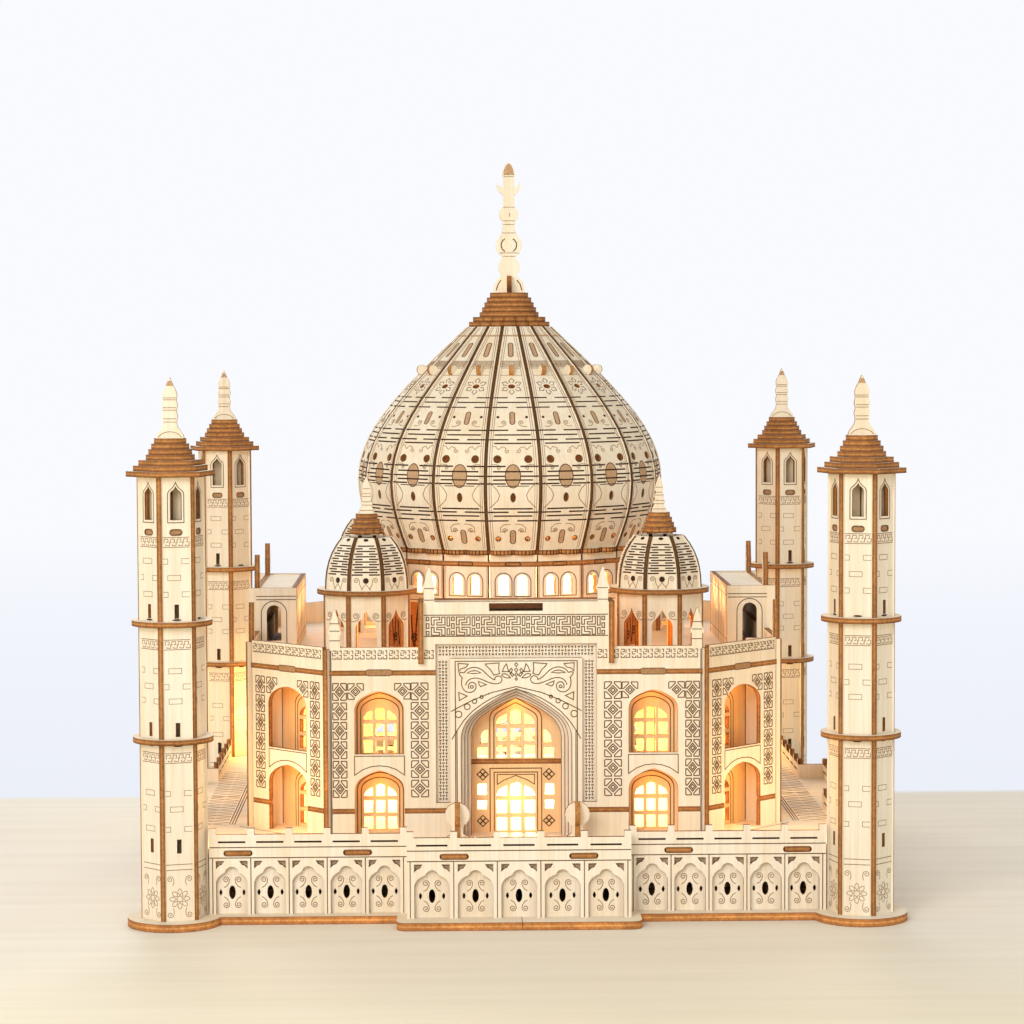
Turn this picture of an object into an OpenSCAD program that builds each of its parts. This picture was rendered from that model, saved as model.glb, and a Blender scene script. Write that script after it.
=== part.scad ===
// Miniature domed mausoleum with four corner towers, built from laser-cut plywood sheet.
// Every wall, floor, rib and tier is a flat plate; the domes are strips bent over ribs.
// Origin: centre of the base's underside. +Z is up and -Y is the front.

/* [Plywood] */
// Thickness of the plywood sheet
ply = 2; // [1.8:0.1:2.2]
// Thickness of the base plate
base_t = 3; // [2.5:0.5:4]

/* [Plinth] */
// Distance from the centre to a tower's axis, along X and along Y
tower_off = 128; // [126:1:130]
// Distance from the centre to the outer face of the plinth walls
plinth_half = 127.2; // [126.5:0.1:128]
// Distance from the centre to the outer face of the projecting middle bay wall
porch_half = 137.7; // [136:0.1:139]
// Half the width of the projecting middle wall
porch_w = 41.6; // [40:0.1:43]
// Height of the terrace deck above the ground
deck_z = 27; // [26:0.5:28]
// Height of the parapet between its merlons
parapet_z = 33; // [32:0.5:34]
// Height of the merlons' tops
merlon_z = 35.3; // [35:0.1:37]

/* [Hall] */
// Distance from the centre to the facade planes
hall_half = 103.7; // [102:0.1:105]
// Distance from a facade's centre line to the hall's corner
corner_w = 72.2; // [70:0.1:74]
// Height of the roof deck's top
roof_z = 91.5; // [90:0.5:93]
// Height of the hall's parapet
hall_z = 100.2; // [99:0.1:102]
// Height of the portal's top
portal_z = 117.4; // [116:0.1:119]
// Half the width of the portal above the parapet
portal_w = 35.2; // [34:0.1:36]
// Depth between the outer and the inner walls
bay_depth = 12; // [10:0.5:14]

/* [Towers] */
// Height of a tower's shaft
shaft_z = 167; // [160:1:175]
// Distance from a tower's axis to its panels' outer faces
shaft_a = 10.6; // [10:0.1:11.2]

/* [Domes] */
// Number of strips in the main dome
gores = 18; // [18:2:24]
// Greatest radius of the main dome
dome_r = 63; // [60:0.5:64]
// Distance from the centre to a kiosk's axis, along X and along Y
kiosk_off = 57.8; // [57:0.1:60]

/* [Light] */
// Travel of the light's slide switch
switch_travel = 2.5; // [2:0.1:3]

/* [Hidden] */
$fn = 48;

PALE = "blanchedalmond";
BURNT = "peru";

gap = 0.15;                              // clearance of a loose slot round its tab
part_gap = 0.03;                         // clearance between plates that butt
face_z = deck_z + 11.6;                  // top of the band above the hall's foot
floor_z = 55.5;                          // top of the gallery floor
wall_end = 115.3;                        // end of a plinth wall beside its tower
bays = 5;                                // arches in one plinth wall
merlon_w = 2.6;
shaft_r = shaft_a / cos(30) + 0.2;       // tip of a tower's rib

// ---------------------------------------------------------------- outlines

// Right half of an arch from its spring (w, 0) to its apex (0, h): an arc of radius r that turns by phi,
// then a second arc tangent to it. The second arc bends outwards if the apex is high, which makes an ogee.
function arch_side(w, h, r, phi, n = 5) =
  let (
    c1 = [w - r, 0],
    dir = [cos(phi), sin(phi)],
    p = c1 + r * dir,
    a = [0, h] - p,
    r2 = -(a * a) / (2 * (a * dir)),
    c2 = p - r2 * dir,
    end = [0, h] - c2,
    turn = atan2(end[1] / r2, end[0] / r2)
  )
  concat(
    [for (i = [0:n]) c1 + r * [cos(phi * i / n), sin(phi * i / n)]],
    [for (i = [1:n]) let (t = phi + (turn - phi) * i / n) c2 + r2 * [cos(t), sin(t)]]
  );

// Closed arch outline: sill at y = 0, spring at s, apex at s + h
module arch(w, s, h, r, phi, n = 5) {
  side = [for (p = arch_side(w, h, r, phi, n)) p + [0, s]];
  left = [for (i = [len(side) - 2:-1:0]) [-side[i][0], side[i][1]]];
  polygon(concat([[-w, 0], [w, 0]], side, left));
}

// Round-headed opening: sill at y = 0, crown at h
module round_head(w, h) {
  translate([-w, 0]) square([2 * w, h - w]);
  translate([0, h - w]) circle(r = w);
}

// Slot with round ends, centred, l long and h high
module slot(l, h) {
  square([l - h, h], center = true);
  for (s = [-1, 1]) translate([s * (l - h) / 2, 0]) circle(d = h);
}

module centred(w, h) translate([-w / 2, 0]) square([w, h]);

module rounded(w, h, r) {
  square([w - 2 * r, h], center = true);
  square([w, h - 2 * r], center = true);
  for (x = [-1, 1], y = [-1, 1]) translate([x * (w / 2 - r), y * (h / 2 - r)]) circle(r = r);
}

// Mirror-symmetric outline from a list of [half width, height]
module turned(side) polygon(concat(side, [for (i = [len(side) - 1:-1:0]) [-side[i][0], side[i][1]]]));

function ngon(n, r, turn = 0) =
  [for (i = [0:n - 1]) let (a = turn + 360 * i / n) r * [cos(a), sin(a)]];
function oval(a, b, n = 12) = [for (i = [0:n - 1]) [a * cos(360 * i / n), b * sin(360 * i / n)]];
function bezier(p, t) = let (u = 1 - t)
  u * u * u * p[0] + 3 * u * u * t * p[1] + 3 * u * t * t * p[2] + t * t * t * p[3];
function bezier_points(p, n) = [for (i = [0:n]) bezier(p, i / n)];
function tail(list) = [for (i = [1:len(list) - 1]) list[i]];

// The hall's octagon with its facade planes at h
function corner_at(h) = corner_w - (hall_half - h) * tan(22.5);
module octagon(h) {
  w = corner_at(h);
  polygon([[w, -h], [h, -w], [h, w], [w, h], [-w, h], [-h, w], [-h, -w], [-w, -h]]);
}

// ---------------------------------------------------------------- placing plates

// Stands an outline (x to the right, y up) as a wall on side az, its outer face dist from the axis
module wall(az, dist, t = ply)
  rotate([0, 0, az]) translate([0, t - dist, 0]) rotate([90, 0, 0]) linear_extrude(t) children();

// Stands an outline (x outwards from the axis, y up) as a radial plate; az 0 points to the front
module fin(az, t = ply)
  rotate([0, 0, az - 90]) rotate([90, 0, 0]) translate([0, 0, -t / 2]) linear_extrude(t) children();

module sheet(z, t = ply) translate([0, 0, z]) linear_extrude(t) children();

module four() for (az = [0:90:270]) rotate([0, 0, az]) children();

module at_kiosks() for (sx = [-1, 1], sy = [-1, 1])
  translate([sx * kiosk_off, sy * kiosk_off, 0]) children();

// ---------------------------------------------------------------- base and plinth

battery_x = -42;
battery_y = 30;
battery_l = 64;
battery_w = 40;

module base_outline() {
  rounded(264, 264, 3);
  rounded(2 * 45.3, 2 * 146, 4);
  rounded(2 * 146, 2 * 45.3, 4);
  for (x = [-1, 1], y = [-1, 1]) translate([x * tower_off, y * tower_off]) circle(r = 17.6);
}

module battery_door() translate([battery_x, battery_y])
  square([battery_l - 8, battery_w - 8], center = true);

module switch_slot() translate([battery_x, battery_y - battery_w / 2 - 8]) square([11, 4.4], center = true);

module base_left() color(PALE) sheet(0, base_t) difference() {
  intersection() {
    base_outline();
    translate([-200, -200]) square([200.9, 400]);
  }
  battery_door();
  switch_slot();
}

module base_right() color(PALE) sheet(0, base_t) intersection() {
  base_outline();
  translate([1.1, -200]) square([200, 400]);
}

// Places of the deck's tabs along one side
tab_x = [-104.5, -60, 60, 104.5];
porch_tab_x = [-24, 24];
tab_l = 9.4;

module deck_plan() {
  inner = 2 * (plinth_half - ply);
  difference() {
    union() {
      square(inner, center = true);
      square([2 * (porch_w - ply), 2 * (porch_half - ply)], center = true);
      square([2 * (porch_half - ply), 2 * (porch_w - ply)], center = true);
      four() {
        for (x = tab_x) translate([x, -plinth_half + ply / 2]) square([tab_l, ply], center = true);
        for (x = porch_tab_x) translate([x, -porch_half + ply / 2]) square([tab_l, ply], center = true);
      }
    }
    for (x = [-1, 1], y = [-1, 1]) translate([x * tower_off, y * tower_off]) circle(r = 13.4);
    circle(r = 2);
  }
}

module terrace_deck() color(PALE) sheet(deck_z - ply) deck_plan();

module terrace_formers() color(BURNT) {
  for (s = [-1, 1]) {
    translate([-118, s * 80 - ply / 2, base_t]) cube([236, ply, deck_z - ply - base_t]);
    translate([s * 80 - ply / 2, -78.9, base_t]) cube([ply, 157.8, deck_z - ply - base_t]);
  }
}

// One arch of the arcade: cusped opening and two corner spandrels, w wide
module arcade_opening(w) {
  half = w / 2;
  translate([0, -1]) square([w, 13.5], center = false);
  translate([half, 11.5]) arch(half, 0, 4.8, 4.2, 50);
  translate([half, 15.4]) circle(r = 2.6);
}

module spandrels(w) for (s = [-1, 1]) translate([w / 2 + s * w / 2, 17.2])
  polygon([[0, 0], [0, 3], [-s * 3.1, 3], [-s * 2.2, 1.5], [-s * 1.2, 1.2]]);

// Front layer of one plinth wall, from x0 to x0 + len
module arcade_outline(x0, length, open_w) {
  pitch = (length - merlon_w) / bays;
  difference() {
    union() {
      translate([x0, base_t]) square([length, parapet_z - base_t]);
      for (i = [0:bays]) translate([x0 + i * pitch, parapet_z - 0.5])
        square([merlon_w, merlon_z - parapet_z + 0.5]);
    }
    for (i = [0:bays - 1]) translate([x0 + merlon_w / 2 + (i + 0.5) * pitch, base_t]) {
      translate([-open_w / 2, 0]) arcade_opening(open_w);
      translate([-open_w / 2, 0]) spandrels(open_w);
      translate([0, 27.2]) square([open_w - 1.6, 0.7], center = true);
    }
  }
}

module tab_slots(places) for (x = places) translate([x, deck_z - ply / 2])
  slot(tab_l + 2 * gap + 1.1, ply + 2 * gap);

module arcade(az) color(PALE) {
  wall(az, plinth_half) difference() {
    union() {
      arcade_outline(-wall_end, wall_end - porch_w, 11.8);
      arcade_outline(porch_w, wall_end - porch_w, 11.8);
    }
    tab_slots(tab_x);
  }
  wall(az, porch_half) difference() {
    arcade_outline(-porch_w, 2 * porch_w, 13.2);
    tab_slots(porch_tab_x);
  }
  for (s = [-1, 1]) rotate([0, 0, az])
    translate([s * (porch_w - ply / 2) - ply / 2, -porch_half + ply, base_t])
      cube([ply, porch_half - plinth_half, parapet_z - base_t]);
}

module arcade_front() arcade(0);
module arcade_right() arcade(90);
module arcade_rear() arcade(180);
module arcade_left() arcade(270);

// Back layer from x0 to x0 + length, pierced behind each arch of a wall from start to start + full
module backing_outline(x0, length, start, full) {
  pitch = (full - merlon_w) / bays;
  difference() {
    translate([x0, base_t]) square([length, deck_z - ply - base_t]);
    for (i = [0:bays - 1]) translate([start + merlon_w / 2 + (i + 0.5) * pitch, 11]) {
      polygon(oval(1.25, 2.6));
      for (s = [-1, 1]) translate([s * 4.3, 0]) intersection() {
        translate([1.0, 0]) circle(r = 1.55);
        translate([-1.0, 0]) circle(r = 1.55);
      }
    }
  }
}

module plinth_backing() color(PALE) for (az = [0:90:270]) {
  length = wall_end - porch_w;
  wall(az, plinth_half - ply) {
    backing_outline(-wall_end + 1.6, length - 1.6, -wall_end, length);
    backing_outline(porch_w, length - 1.6, porch_w, length);
  }
  wall(az, porch_half - ply) backing_outline(-porch_w + ply, 2 * (porch_w - ply), -porch_w, 2 * porch_w);
}

// ---------------------------------------------------------------- corner towers

ring_zs = [68.6, 111.9];
tower_corners = [[-1, -1], [1, -1], [1, 1], [-1, 1]];
function facing(c) = atan2(c[1], c[0]);

module at_tower(c) translate([c[0] * tower_off, c[1] * tower_off, 0]) rotate([0, 0, facing(c)]) children();

// Six radial ribs that stand proud between the panels
module tower_frame(c) color(BURNT) at_tower(c) for (i = [0:5]) rotate([0, 0, 30 + 60 * i])
  translate([2.2, -ply / 2, base_t]) cube([shaft_r - 2.2, ply, shaft_z - base_t]);

// Window and tab slot of one shaft panel (x across the panel, y up)
module shaft_cuts() {
  translate([0, 151.2]) arch(2.2, 9.3, 3.3, 1.8, 55, 4);
  translate([0, 146.7]) slot(4.2, 1.8);
}

module loopholes() for (z = [28.1, 71.3, 115]) translate([0, z]) centred(1.7, 5.2);

// Holes of shaft panel i: the panels numbered blank and blank + 3 have no loopholes
module panel_cuts(i, blank) {
  shaft_cuts();
  if (i % 3 != blank) loopholes();
}

module tower_panels(c) color(PALE) at_tower(c) for (i = [0:5]) rotate([0, 0, 60 * i]) difference() {
  w_out = (shaft_a / 2 - ply / 2 - 0.02) / cos(30);
  w_in = ((shaft_a - ply) / 2 - ply / 2 - 0.02) / cos(30);
  sheet(base_t, shaft_z - base_t)
    polygon([[shaft_a, -w_out], [shaft_a, w_out], [shaft_a - ply, w_in], [shaft_a - ply, -w_in]]);
  rotate([0, 0, 90]) translate([0, ply + 1 - shaft_a, 0]) rotate([90, 0, 0])
    linear_extrude(ply + 2) panel_cuts(i, c[1] < 0 ? 2 : 0);
}

// Two balconies and the stepped roof
module tower_rings(c) color(BURNT) at_tower(c) {
  for (z = ring_zs) sheet(z) difference() {
    circle(r = 14.9);
    polygon(ngon(6, shaft_r + 0.1, 30));
    for (i = [0:5]) rotate([0, 0, 30 + 60 * i]) translate([0, -ply / 2 - part_gap])
      square([shaft_r + part_gap, ply + 2 * part_gap]);
  }
  for (i = [0:2]) sheet(shaft_z + i * ply) polygon(ngon(6, [16.6, 13.9, 11.9][i], 30));
  for (i = [0:3]) sheet(shaft_z + (i + 3) * ply) circle(d = [18, 16.1, 14, 11.9][i]);
}

module tower_fl_frame() tower_frame(tower_corners[0]);
module tower_fr_frame() tower_frame(tower_corners[1]);
module tower_rr_frame() tower_frame(tower_corners[2]);
module tower_rl_frame() tower_frame(tower_corners[3]);
module tower_fl_panels() tower_panels(tower_corners[0]);
module tower_fr_panels() tower_panels(tower_corners[1]);
module tower_rr_panels() tower_panels(tower_corners[2]);
module tower_rl_panels() tower_panels(tower_corners[3]);
module tower_fl_rings() tower_rings(tower_corners[0]);
module tower_fr_rings() tower_rings(tower_corners[1]);
module tower_rr_rings() tower_rings(tower_corners[2]);
module tower_rl_rings() tower_rings(tower_corners[3]);

tower_top = shaft_z + 7 * ply;
finial_side = [
  [5.2, 0], [4.9, 1.2], [3.9, 2.6], [3.0, 3.8], [2.6, 5], [2.55, 6.4], [2.95, 8], [2.55, 9.6],
  [2.55, 10.4], [2.95, 12], [2.5, 13.7], [2.75, 16.1], [2.3, 17.6], [1.4, 19.2], [0.15, 22.3]
];

module tower_finials() color(PALE) for (c = tower_corners)
  translate([c[0] * tower_off, c[1] * tower_off + ply / 2, tower_top])
    rotate([90, 0, 0]) linear_extrude(ply) turned(finial_side);

// ---------------------------------------------------------------- hall

bay_x = 52.2;                            // centre of a wing's arches from the facade's centre line
rib_gap = 2;                             // wall end to the hall's corner
chamfer_d = (hall_half + corner_w) / sqrt(2);
chamfer_half = (hall_half - corner_w) / sqrt(2);
recess_w = 30.7;                         // half width of the portal's recess
recess_top = 101.4;
recess_foot = 40.6;
inner_panel_w = 25.1;
arch_z = 64.5;                           // spring of the portal's arch

// Upper and lower arch of one bay, w is their half width
module wing_arches(w) {
  translate([0, 59.4]) arch(w, 16.8, 7.4, 5.5, 55);
  translate([0, deck_z - 1]) arch(w, 46.6 - deck_z, 7.7, 5.5, 55);
}

// The floor plates' edges that show on the outside
module floor_bands(x0, x1) {
  translate([x0, face_z - ply]) square([x1 - x0, ply]);
  translate([x0, roof_z - ply]) square([x1 - x0, ply]);
}

module pinnacle(x, z, h) translate([x, z]) turned([
  [2.0, -1], [2.0, h * 0.34], [2.5, h * 0.35], [2.6, h * 0.43], [1.9, h * 0.52], [1.1, h * 0.8], [0.15, h]
]);

module facade_outline() {
  end = corner_w - rib_gap;
  difference() {
    union() {
      translate([-end, deck_z]) square([2 * end, hall_z - deck_z]);
      translate([-portal_w, hall_z - 1]) square([2 * portal_w, portal_z - hall_z + 1]);
      for (s = [-1, 1]) {
        pinnacle(s * 33, portal_z, 13.2);
        pinnacle(s * 68.9, hall_z, 14.4);
      }
    }
    for (s = [-1, 1]) translate([s * bay_x, 0]) wing_arches(9.45);
    floor_bands(-end - 1, end + 1);
    translate([-recess_w, recess_foot]) square([2 * recess_w, recess_top - recess_foot]);
    translate([-inner_panel_w, deck_z - 1]) square([2 * inner_panel_w, recess_foot - deck_z + 2]);
    translate([0, portal_z - 3.5]) centred(20.4, 3);
  }
}

module facade(az) color(PALE) wall(az, hall_half) facade_outline();
module facade_front() facade(0);
module facade_right() facade(90);
module facade_rear() facade(180);
module facade_left() facade(270);

module portal_arch(w) translate([0, deck_z - 1])
  arch(w, arch_z - deck_z + 1, 19.7 - (21 - w) * 1.15, w * 0.62, 52, 8);

// Four layers, each with a slightly smaller arch, that step back into the portal
module portal_frame(az) color(PALE) {
  wall(az, hall_half) difference() {
    translate([0, deck_z]) centred(2 * inner_panel_w, 95.8 - deck_z);
    portal_arch(21);
  }
  wall(az, hall_half - ply) difference() {
    union() {
      translate([0, recess_foot]) centred(2 * recess_w, recess_top - recess_foot);
      translate([0, deck_z]) centred(2 * inner_panel_w, 20);
    }
    portal_arch(19.7);
  }
  for (i = [0:1]) wall(az, hall_half - (2 + i) * ply) difference() {
    translate([0, deck_z]) centred(2 * inner_panel_w, 93 - deck_z);
    portal_arch(18.5 - i * 1.3);
  }
}
module portal_frame_front() portal_frame(0);
module portal_frame_right() portal_frame(90);
module portal_frame_rear() portal_frame(180);
module portal_frame_left() portal_frame(270);

iwan_d = 90.9;                           // distance from the centre to the iwan's back wall

// Window of cols by rows panes under an arch; w and h are a pane's size, px and pz the pitch
module panes(cols, rows, w, h, px, pz) for (i = [0:cols - 1], j = [0:rows - 1])
  translate([(i - (cols - 1) / 2) * px - w / 2, j * pz]) square([w, h]);

// Two rows of panes and a third one, top high, cut by the arch
module arched_panes(w, h, px, pz, top) intersection() {
  union() {
    panes(3, 2, w, h, px, pz);
    translate([0, 2 * pz]) panes(3, 1, w, top, px, pz);
  }
  arch(px + w / 2, 2 * pz, top, 3.4, 60, 4);
}

// Quarter-round pane whose upright side is on the left for s = 1
module quarter_pane(s, w, h) polygon(concat(
  [[0, 0]],
  [for (a = [0:18:90]) [s * w * cos(a), h * sin(a)]]
));

module iwan_back_outline(z0, z1) difference() {
  translate([0, z0]) centred(46, z1 - z0);
  children();
}

module iwan_walls() color(PALE) for (az = [0:90:270]) {
  wall(az, iwan_d) iwan_back_outline(deck_z, floor_z - ply) {
    translate([0, deck_z + 0.6]) arched_panes(3.9, 5.1, 5.4, 6.7, 5.3);
    for (s = [-1, 1]) {
      translate([s * 13, 35.9]) centred(3.4, 3.5);
      translate([s * 13, 41.4]) centred(3.4, 4.4);
    }
  }
  wall(az, iwan_d) iwan_back_outline(floor_z, 96) {
    translate([0, floor_z + 0.4]) arched_panes(3.9, 4.9, 5.4, 6.5, 5.7);
    for (s = [-1, 1]) {
      translate([s * 12.8, floor_z + 0.4]) centred(3.9, 3.9);
      translate([s * 10.85, 61.6]) quarter_pane(s, 2.95, 5.2);
    }
  }
  front = -hall_half + 4 * ply;
  depth = hall_half - 4 * ply - iwan_d - part_gap;
  for (s = [-1, 1]) rotate([0, 0, az]) translate([s * (24 + part_gap) - ply / 2, front, deck_z])
    cube([ply, depth, roof_z + 1.5 - deck_z - part_gap]);
  rotate([0, 0, az]) translate([-25, front, roof_z + 1.5]) cube([50, depth, ply]);
}

module chamfer_walls() color(PALE) for (az = [45:90:315]) wall(az, chamfer_d) {
  end = chamfer_half - rib_gap;
  difference() {
    translate([-end, deck_z]) square([2 * end, hall_z - deck_z]);
    wing_arches(11);
    floor_bands(-end - 1, end + 1);
  }
}

// Plan of the ribs that stand at the hall's eight corners
module corner_plan(t = ply) four() for (s = [-1, 1])
  translate([s * corner_w, -hall_half]) rotate([0, 0, s * 22.5]) translate([-t / 2, -0.9]) square([t, 14]);

module corner_ribs() color(BURNT) sheet(deck_z, 99.4 - deck_z) corner_plan();

// Recessed walls behind the arches, with the lit windows
module inner_window(z0) translate([0, z0]) arched_panes(3.4, 5, 4.6, 6.4, 5);

module inner_walls() color(PALE) {
  for (az = [0:90:270], s = [-1, 1]) wall(az, hall_half - bay_depth) {
    difference() {
      translate([s * 45.7 - 20.5, deck_z]) square([41, roof_z - ply - deck_z]);
      translate([s * bay_x, 0]) inner_window(deck_z + 1.5);
      translate([s * bay_x, 0]) inner_window(floor_z + 2.6);
      translate([0, floor_z - ply]) centred(200, ply);
    }
  }
  for (az = [45:90:315]) wall(az, chamfer_d - bay_depth) difference() {
    translate([0, deck_z]) centred(32.4, roof_z - ply - deck_z);
    inner_window(deck_z + 1.5);
    inner_window(floor_z + 2.6);
    translate([0, floor_z - ply]) centred(200, ply);
  }
}

// Plan strips whose edges show as bands beside every arch
module foot_strips() {
  four() for (s = [-1, 1]) {
    translate([s * 34, -hall_half + bay_depth / 2]) square([17.4, bay_depth], center = true);
    translate([s * 65.9, -hall_half + ply / 2]) square([8.4, ply], center = true);
  }
  for (az = [45:90:315], s = [-1, 1]) rotate([0, 0, az])
    translate([s * 15.7, -chamfer_d + ply / 2]) square([9, ply], center = true);
}

// Cuts that part the gallery floor into sixteen plates
module gallery_joints() four() for (s = [-1, 1]) {
  translate([s * (inner_panel_w + part_gap), -hall_half]) square([2 * part_gap, 60], center = true);
  translate([s * corner_w, -hall_half]) rotate([0, 0, s * 22.5]) square([2 * part_gap, 80], center = true);
}

module floor_plates() color(BURNT) {
  sheet(face_z - ply) difference() {
    foot_strips();
    corner_plan(ply + 2 * gap);
    four() translate([0, -hall_half]) square([2 * inner_panel_w, 16], center = true);
  }
  sheet(floor_z - ply) difference() {
    octagon(hall_half - ply);
    octagon(80);
    gallery_joints();
    corner_plan(ply + 2 * gap);
    four() translate([0, -hall_half]) square([50.2, 2 * (hall_half - iwan_d)], center = true);
    four() translate([0, -hall_half]) square([2 * recess_w, 8 * ply], center = true);
  }
}

hat_back = 88.8;                         // distance from the centre to the portal box's rear face
drum_r = 54.5;                           // distance from the centre to the drum panels' outer faces

module roof_deck() color(PALE) sheet(roof_z - ply) difference() {
  octagon(hall_half);
  corner_plan(ply + 2 * gap);
  circle(r = 49);
  four() translate([0, -hall_half]) square([2 * recess_w + 0.2, 2 * (hall_half - hat_back)], center = true);
}

// Rear wall and top plate that turn each portal into a box above the roof
module portal_backs() color(PALE) for (az = [0:90:270]) {
  wall(az, hat_back) translate([0, roof_z]) centred(2 * portal_w, portal_z - roof_z);
  rotate([0, 0, az]) {
    translate([-portal_w, -hall_half + ply, portal_z - 2.5])
      cube([2 * portal_w, hall_half - ply - hat_back, ply]);
    translate([-9.8, -hall_half, portal_z - 2.5]) cube([19.6, ply, ply]);
  }
}

// Side plates of the portal boxes: they hook over the parapet and show their edge in front of it
module cheek_outline() difference() {
  union() {
    translate([hat_back - ply, roof_z]) square([hall_half - hat_back, portal_z - roof_z]);
    translate([hall_half - 2 * ply, hall_z]) square([2 * ply + 2.6, portal_z - hall_z]);
    translate([hall_half, 95.3]) square([2.6, 10]);
    translate([hall_half + 1.3, 95.3]) circle(r = 1.3);
  }
  translate([95.9, roof_z]) round_head(2.9, 19);
}

module portal_cheeks() color(PALE) for (az = [0:90:270], s = [-1, 1]) rotate([0, 0, az])
  translate([s * (portal_w + ply / 2), 0, 0]) fin(0) cheek_outline();

// ---------------------------------------------------------------- roof kiosks

kiosk_a = 16.4;                          // distance from a kiosk's axis to its panels' outer faces
kiosk_top = 117.2;
kiosk_post_r = kiosk_a / cos(22.5) + 0.2;
kiosk_dome = [[17.4, kiosk_top + ply], [17.4, 129], [15, 135.5], [7.4, 142.3]];
kiosk_cap_z = 140.6;

module kiosk_posts() color(BURNT) at_kiosks() for (i = [0:7]) rotate([0, 0, 22.5 + 45 * i])
  translate([kiosk_post_r - 3.4, -ply / 2, roof_z]) cube([3.4, ply, kiosk_top - roof_z]);

module kiosk_panels() color(PALE) at_kiosks() for (i = [0:7]) rotate([0, 0, 45 * i]) difference() {
  w_out = (kiosk_a * sin(22.5) - ply / 2 - 0.02) / cos(22.5);
  w_in = ((kiosk_a - ply) * sin(22.5) - ply / 2 - 0.02) / cos(22.5);
  sheet(roof_z, kiosk_top - roof_z)
    polygon([[kiosk_a, -w_out], [kiosk_a, w_out], [kiosk_a - ply, w_in], [kiosk_a - ply, -w_in]]);
  rotate([0, 0, 90]) translate([0, -kiosk_a + ply + 1, 0]) rotate([90, 0, 0]) linear_extrude(ply + 2)
    translate([0, roof_z + 1.5]) arch(4.1, 11.5, 7.3, 3.6, 50);
}

module kiosk_eaves() color(BURNT) at_kiosks() sheet(kiosk_top) circle(r = 19.7);

// Radial plate under a dome: its outer edge follows the profile, its inner edge runs depth behind it
module rib_outline(profile, depth) polygon(concat(
  profile,
  [for (i = [len(profile) - 1:-1:0]) profile[i] - [depth, 0]]
));

kiosk_profile = [for (p = bezier_points(kiosk_dome, 7)) if (p[1] < kiosk_cap_z) p];

module kiosk_ribs() color(BURNT) at_kiosks() for (i = [0:7])
  fin(22.5 + 45 * i, 1.6) rib_outline(kiosk_profile, 3.2);

// Strip of a dome between two ribs: flat across, curved along the profile, t thick
module gore(profile, az, half_angle, rib_t, t) {
  n = len(profile);
  flat = [for (p = profile) [p[0] * cos(half_angle) - 0.3, p[1]]];
  normal = [for (i = [0:n - 1])
    let (d = i == 0 ? [0, 1] : flat[min(i + 1, n - 1)] - flat[i - 1], l = norm(d)) [d[1] / l, -d[0] / l]];
  function half_w(r) = r * tan(half_angle) - (rib_t / 2 + 0.05) / cos(half_angle);
  outer = flat;
  inner = [for (i = [0:n - 1]) flat[i] - t * normal[i]];
  points = concat(
    [for (p = outer) [p[0], -half_w(p[0]), p[1]]],
    [for (p = outer) [p[0], half_w(p[0]), p[1]]],
    [for (p = inner) [p[0], half_w(p[0]), p[1]]],
    [for (p = inner) [p[0], -half_w(p[0]), p[1]]]
  );
  band = [for (k = [0:3], i = [0:n - 2])
    let (a = k * n + i, b = ((k + 1) % 4) * n + i) [a, a + 1, b + 1, b]];
  caps = [[0, n, 2 * n, 3 * n], [4 * n - 1, 3 * n - 1, 2 * n - 1, n - 1]];
  rotate([0, 0, az - 90]) polyhedron(points = points, faces = concat(band, caps));
}

module kiosk_gores() color(PALE) at_kiosks() for (i = [0:7]) gore(kiosk_profile, 45 * i, 22.5, 1.6, 1.2);

// Disc with n round bumps on its rim
module scalloped(r, n) {
  bump = PI * r / n;
  circle(r = r - bump * 0.8);
  for (i = [0:n - 1]) rotate([0, 0, 360 * (i + 0.5) / n]) translate([r - bump, 0]) circle(r = bump);
}

module kiosk_caps() color(BURNT) at_kiosks() {
  sheet(kiosk_cap_z) scalloped(6.9, 12);
  for (i = [0:2]) sheet(kiosk_cap_z + (i + 1) * ply) circle(d = [11.9, 10.3, 8.6][i]);
}

kiosk_finial_z = kiosk_cap_z + 4 * ply;
module kiosk_finials() color(PALE) at_kiosks() translate([0, ply / 2, kiosk_finial_z]) rotate([90, 0, 0])
  linear_extrude(ply) turned([
    [2.9, 0], [2.9, 1.2], [1.9, 3], [2.3, 3.6], [2.3, 4.4], [1.6, 5.4], [1.9, 6], [1.9, 6.8],
    [1.3, 7.8], [1.7, 9], [1.5, 10.4], [0.9, 12.4], [0.15, 14.4]
  ]);

// ---------------------------------------------------------------- drum and main dome

drum_top = 131.5;
ring_z = 126.9;
half_gore = 180 / gores;
cornice_z = drum_top + ply;

module drum_panels() color(PALE) for (i = [0:gores - 1]) wall(i * 360 / gores, drum_r) {
  half = (drum_r - ply) * tan(half_gore) - 0.08;
  difference() {
    translate([-half, roof_z]) square([2 * half, ring_z - roof_z]);
    for (s = [-1, 1]) translate([s * 3.67, 115.6]) round_head(1.95, 7.9);
  }
  translate([-half, ring_z + ply]) square([2 * half, drum_top - ring_z - ply]);
}

module drum_rings() color(BURNT) {
  sheet(ring_z) difference() {
    polygon(ngon(gores, (drum_r + 0.3) / cos(half_gore), 90 + half_gore));
    circle(r = 46);
  }
  sheet(drum_top) difference() {
    scalloped(57.2, 2 * gores);
    circle(r = 46);
  }
}

lower_dome = [[55.5, cornice_z], [59, 141], [dome_r, 150], [dome_r, 159]];
upper_dome = [[dome_r, 159], [dome_r, 178], [49.5, 192.5], [17.7, 222.2]];
dome_profile = concat(bezier_points(lower_dome, 5), tail(bezier_points(upper_dome, 10)));
cap_z = 222.2;

module dome_ribs() color(BURNT) for (i = [0:gores - 1])
  fin((i + 0.5) * 360 / gores, 1.4) rib_outline(dome_profile, 6);

module dome_gores() color(PALE) for (i = [0:gores - 1])
  gore(dome_profile, i * 360 / gores, half_gore, 1.4, 1.6);

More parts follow.
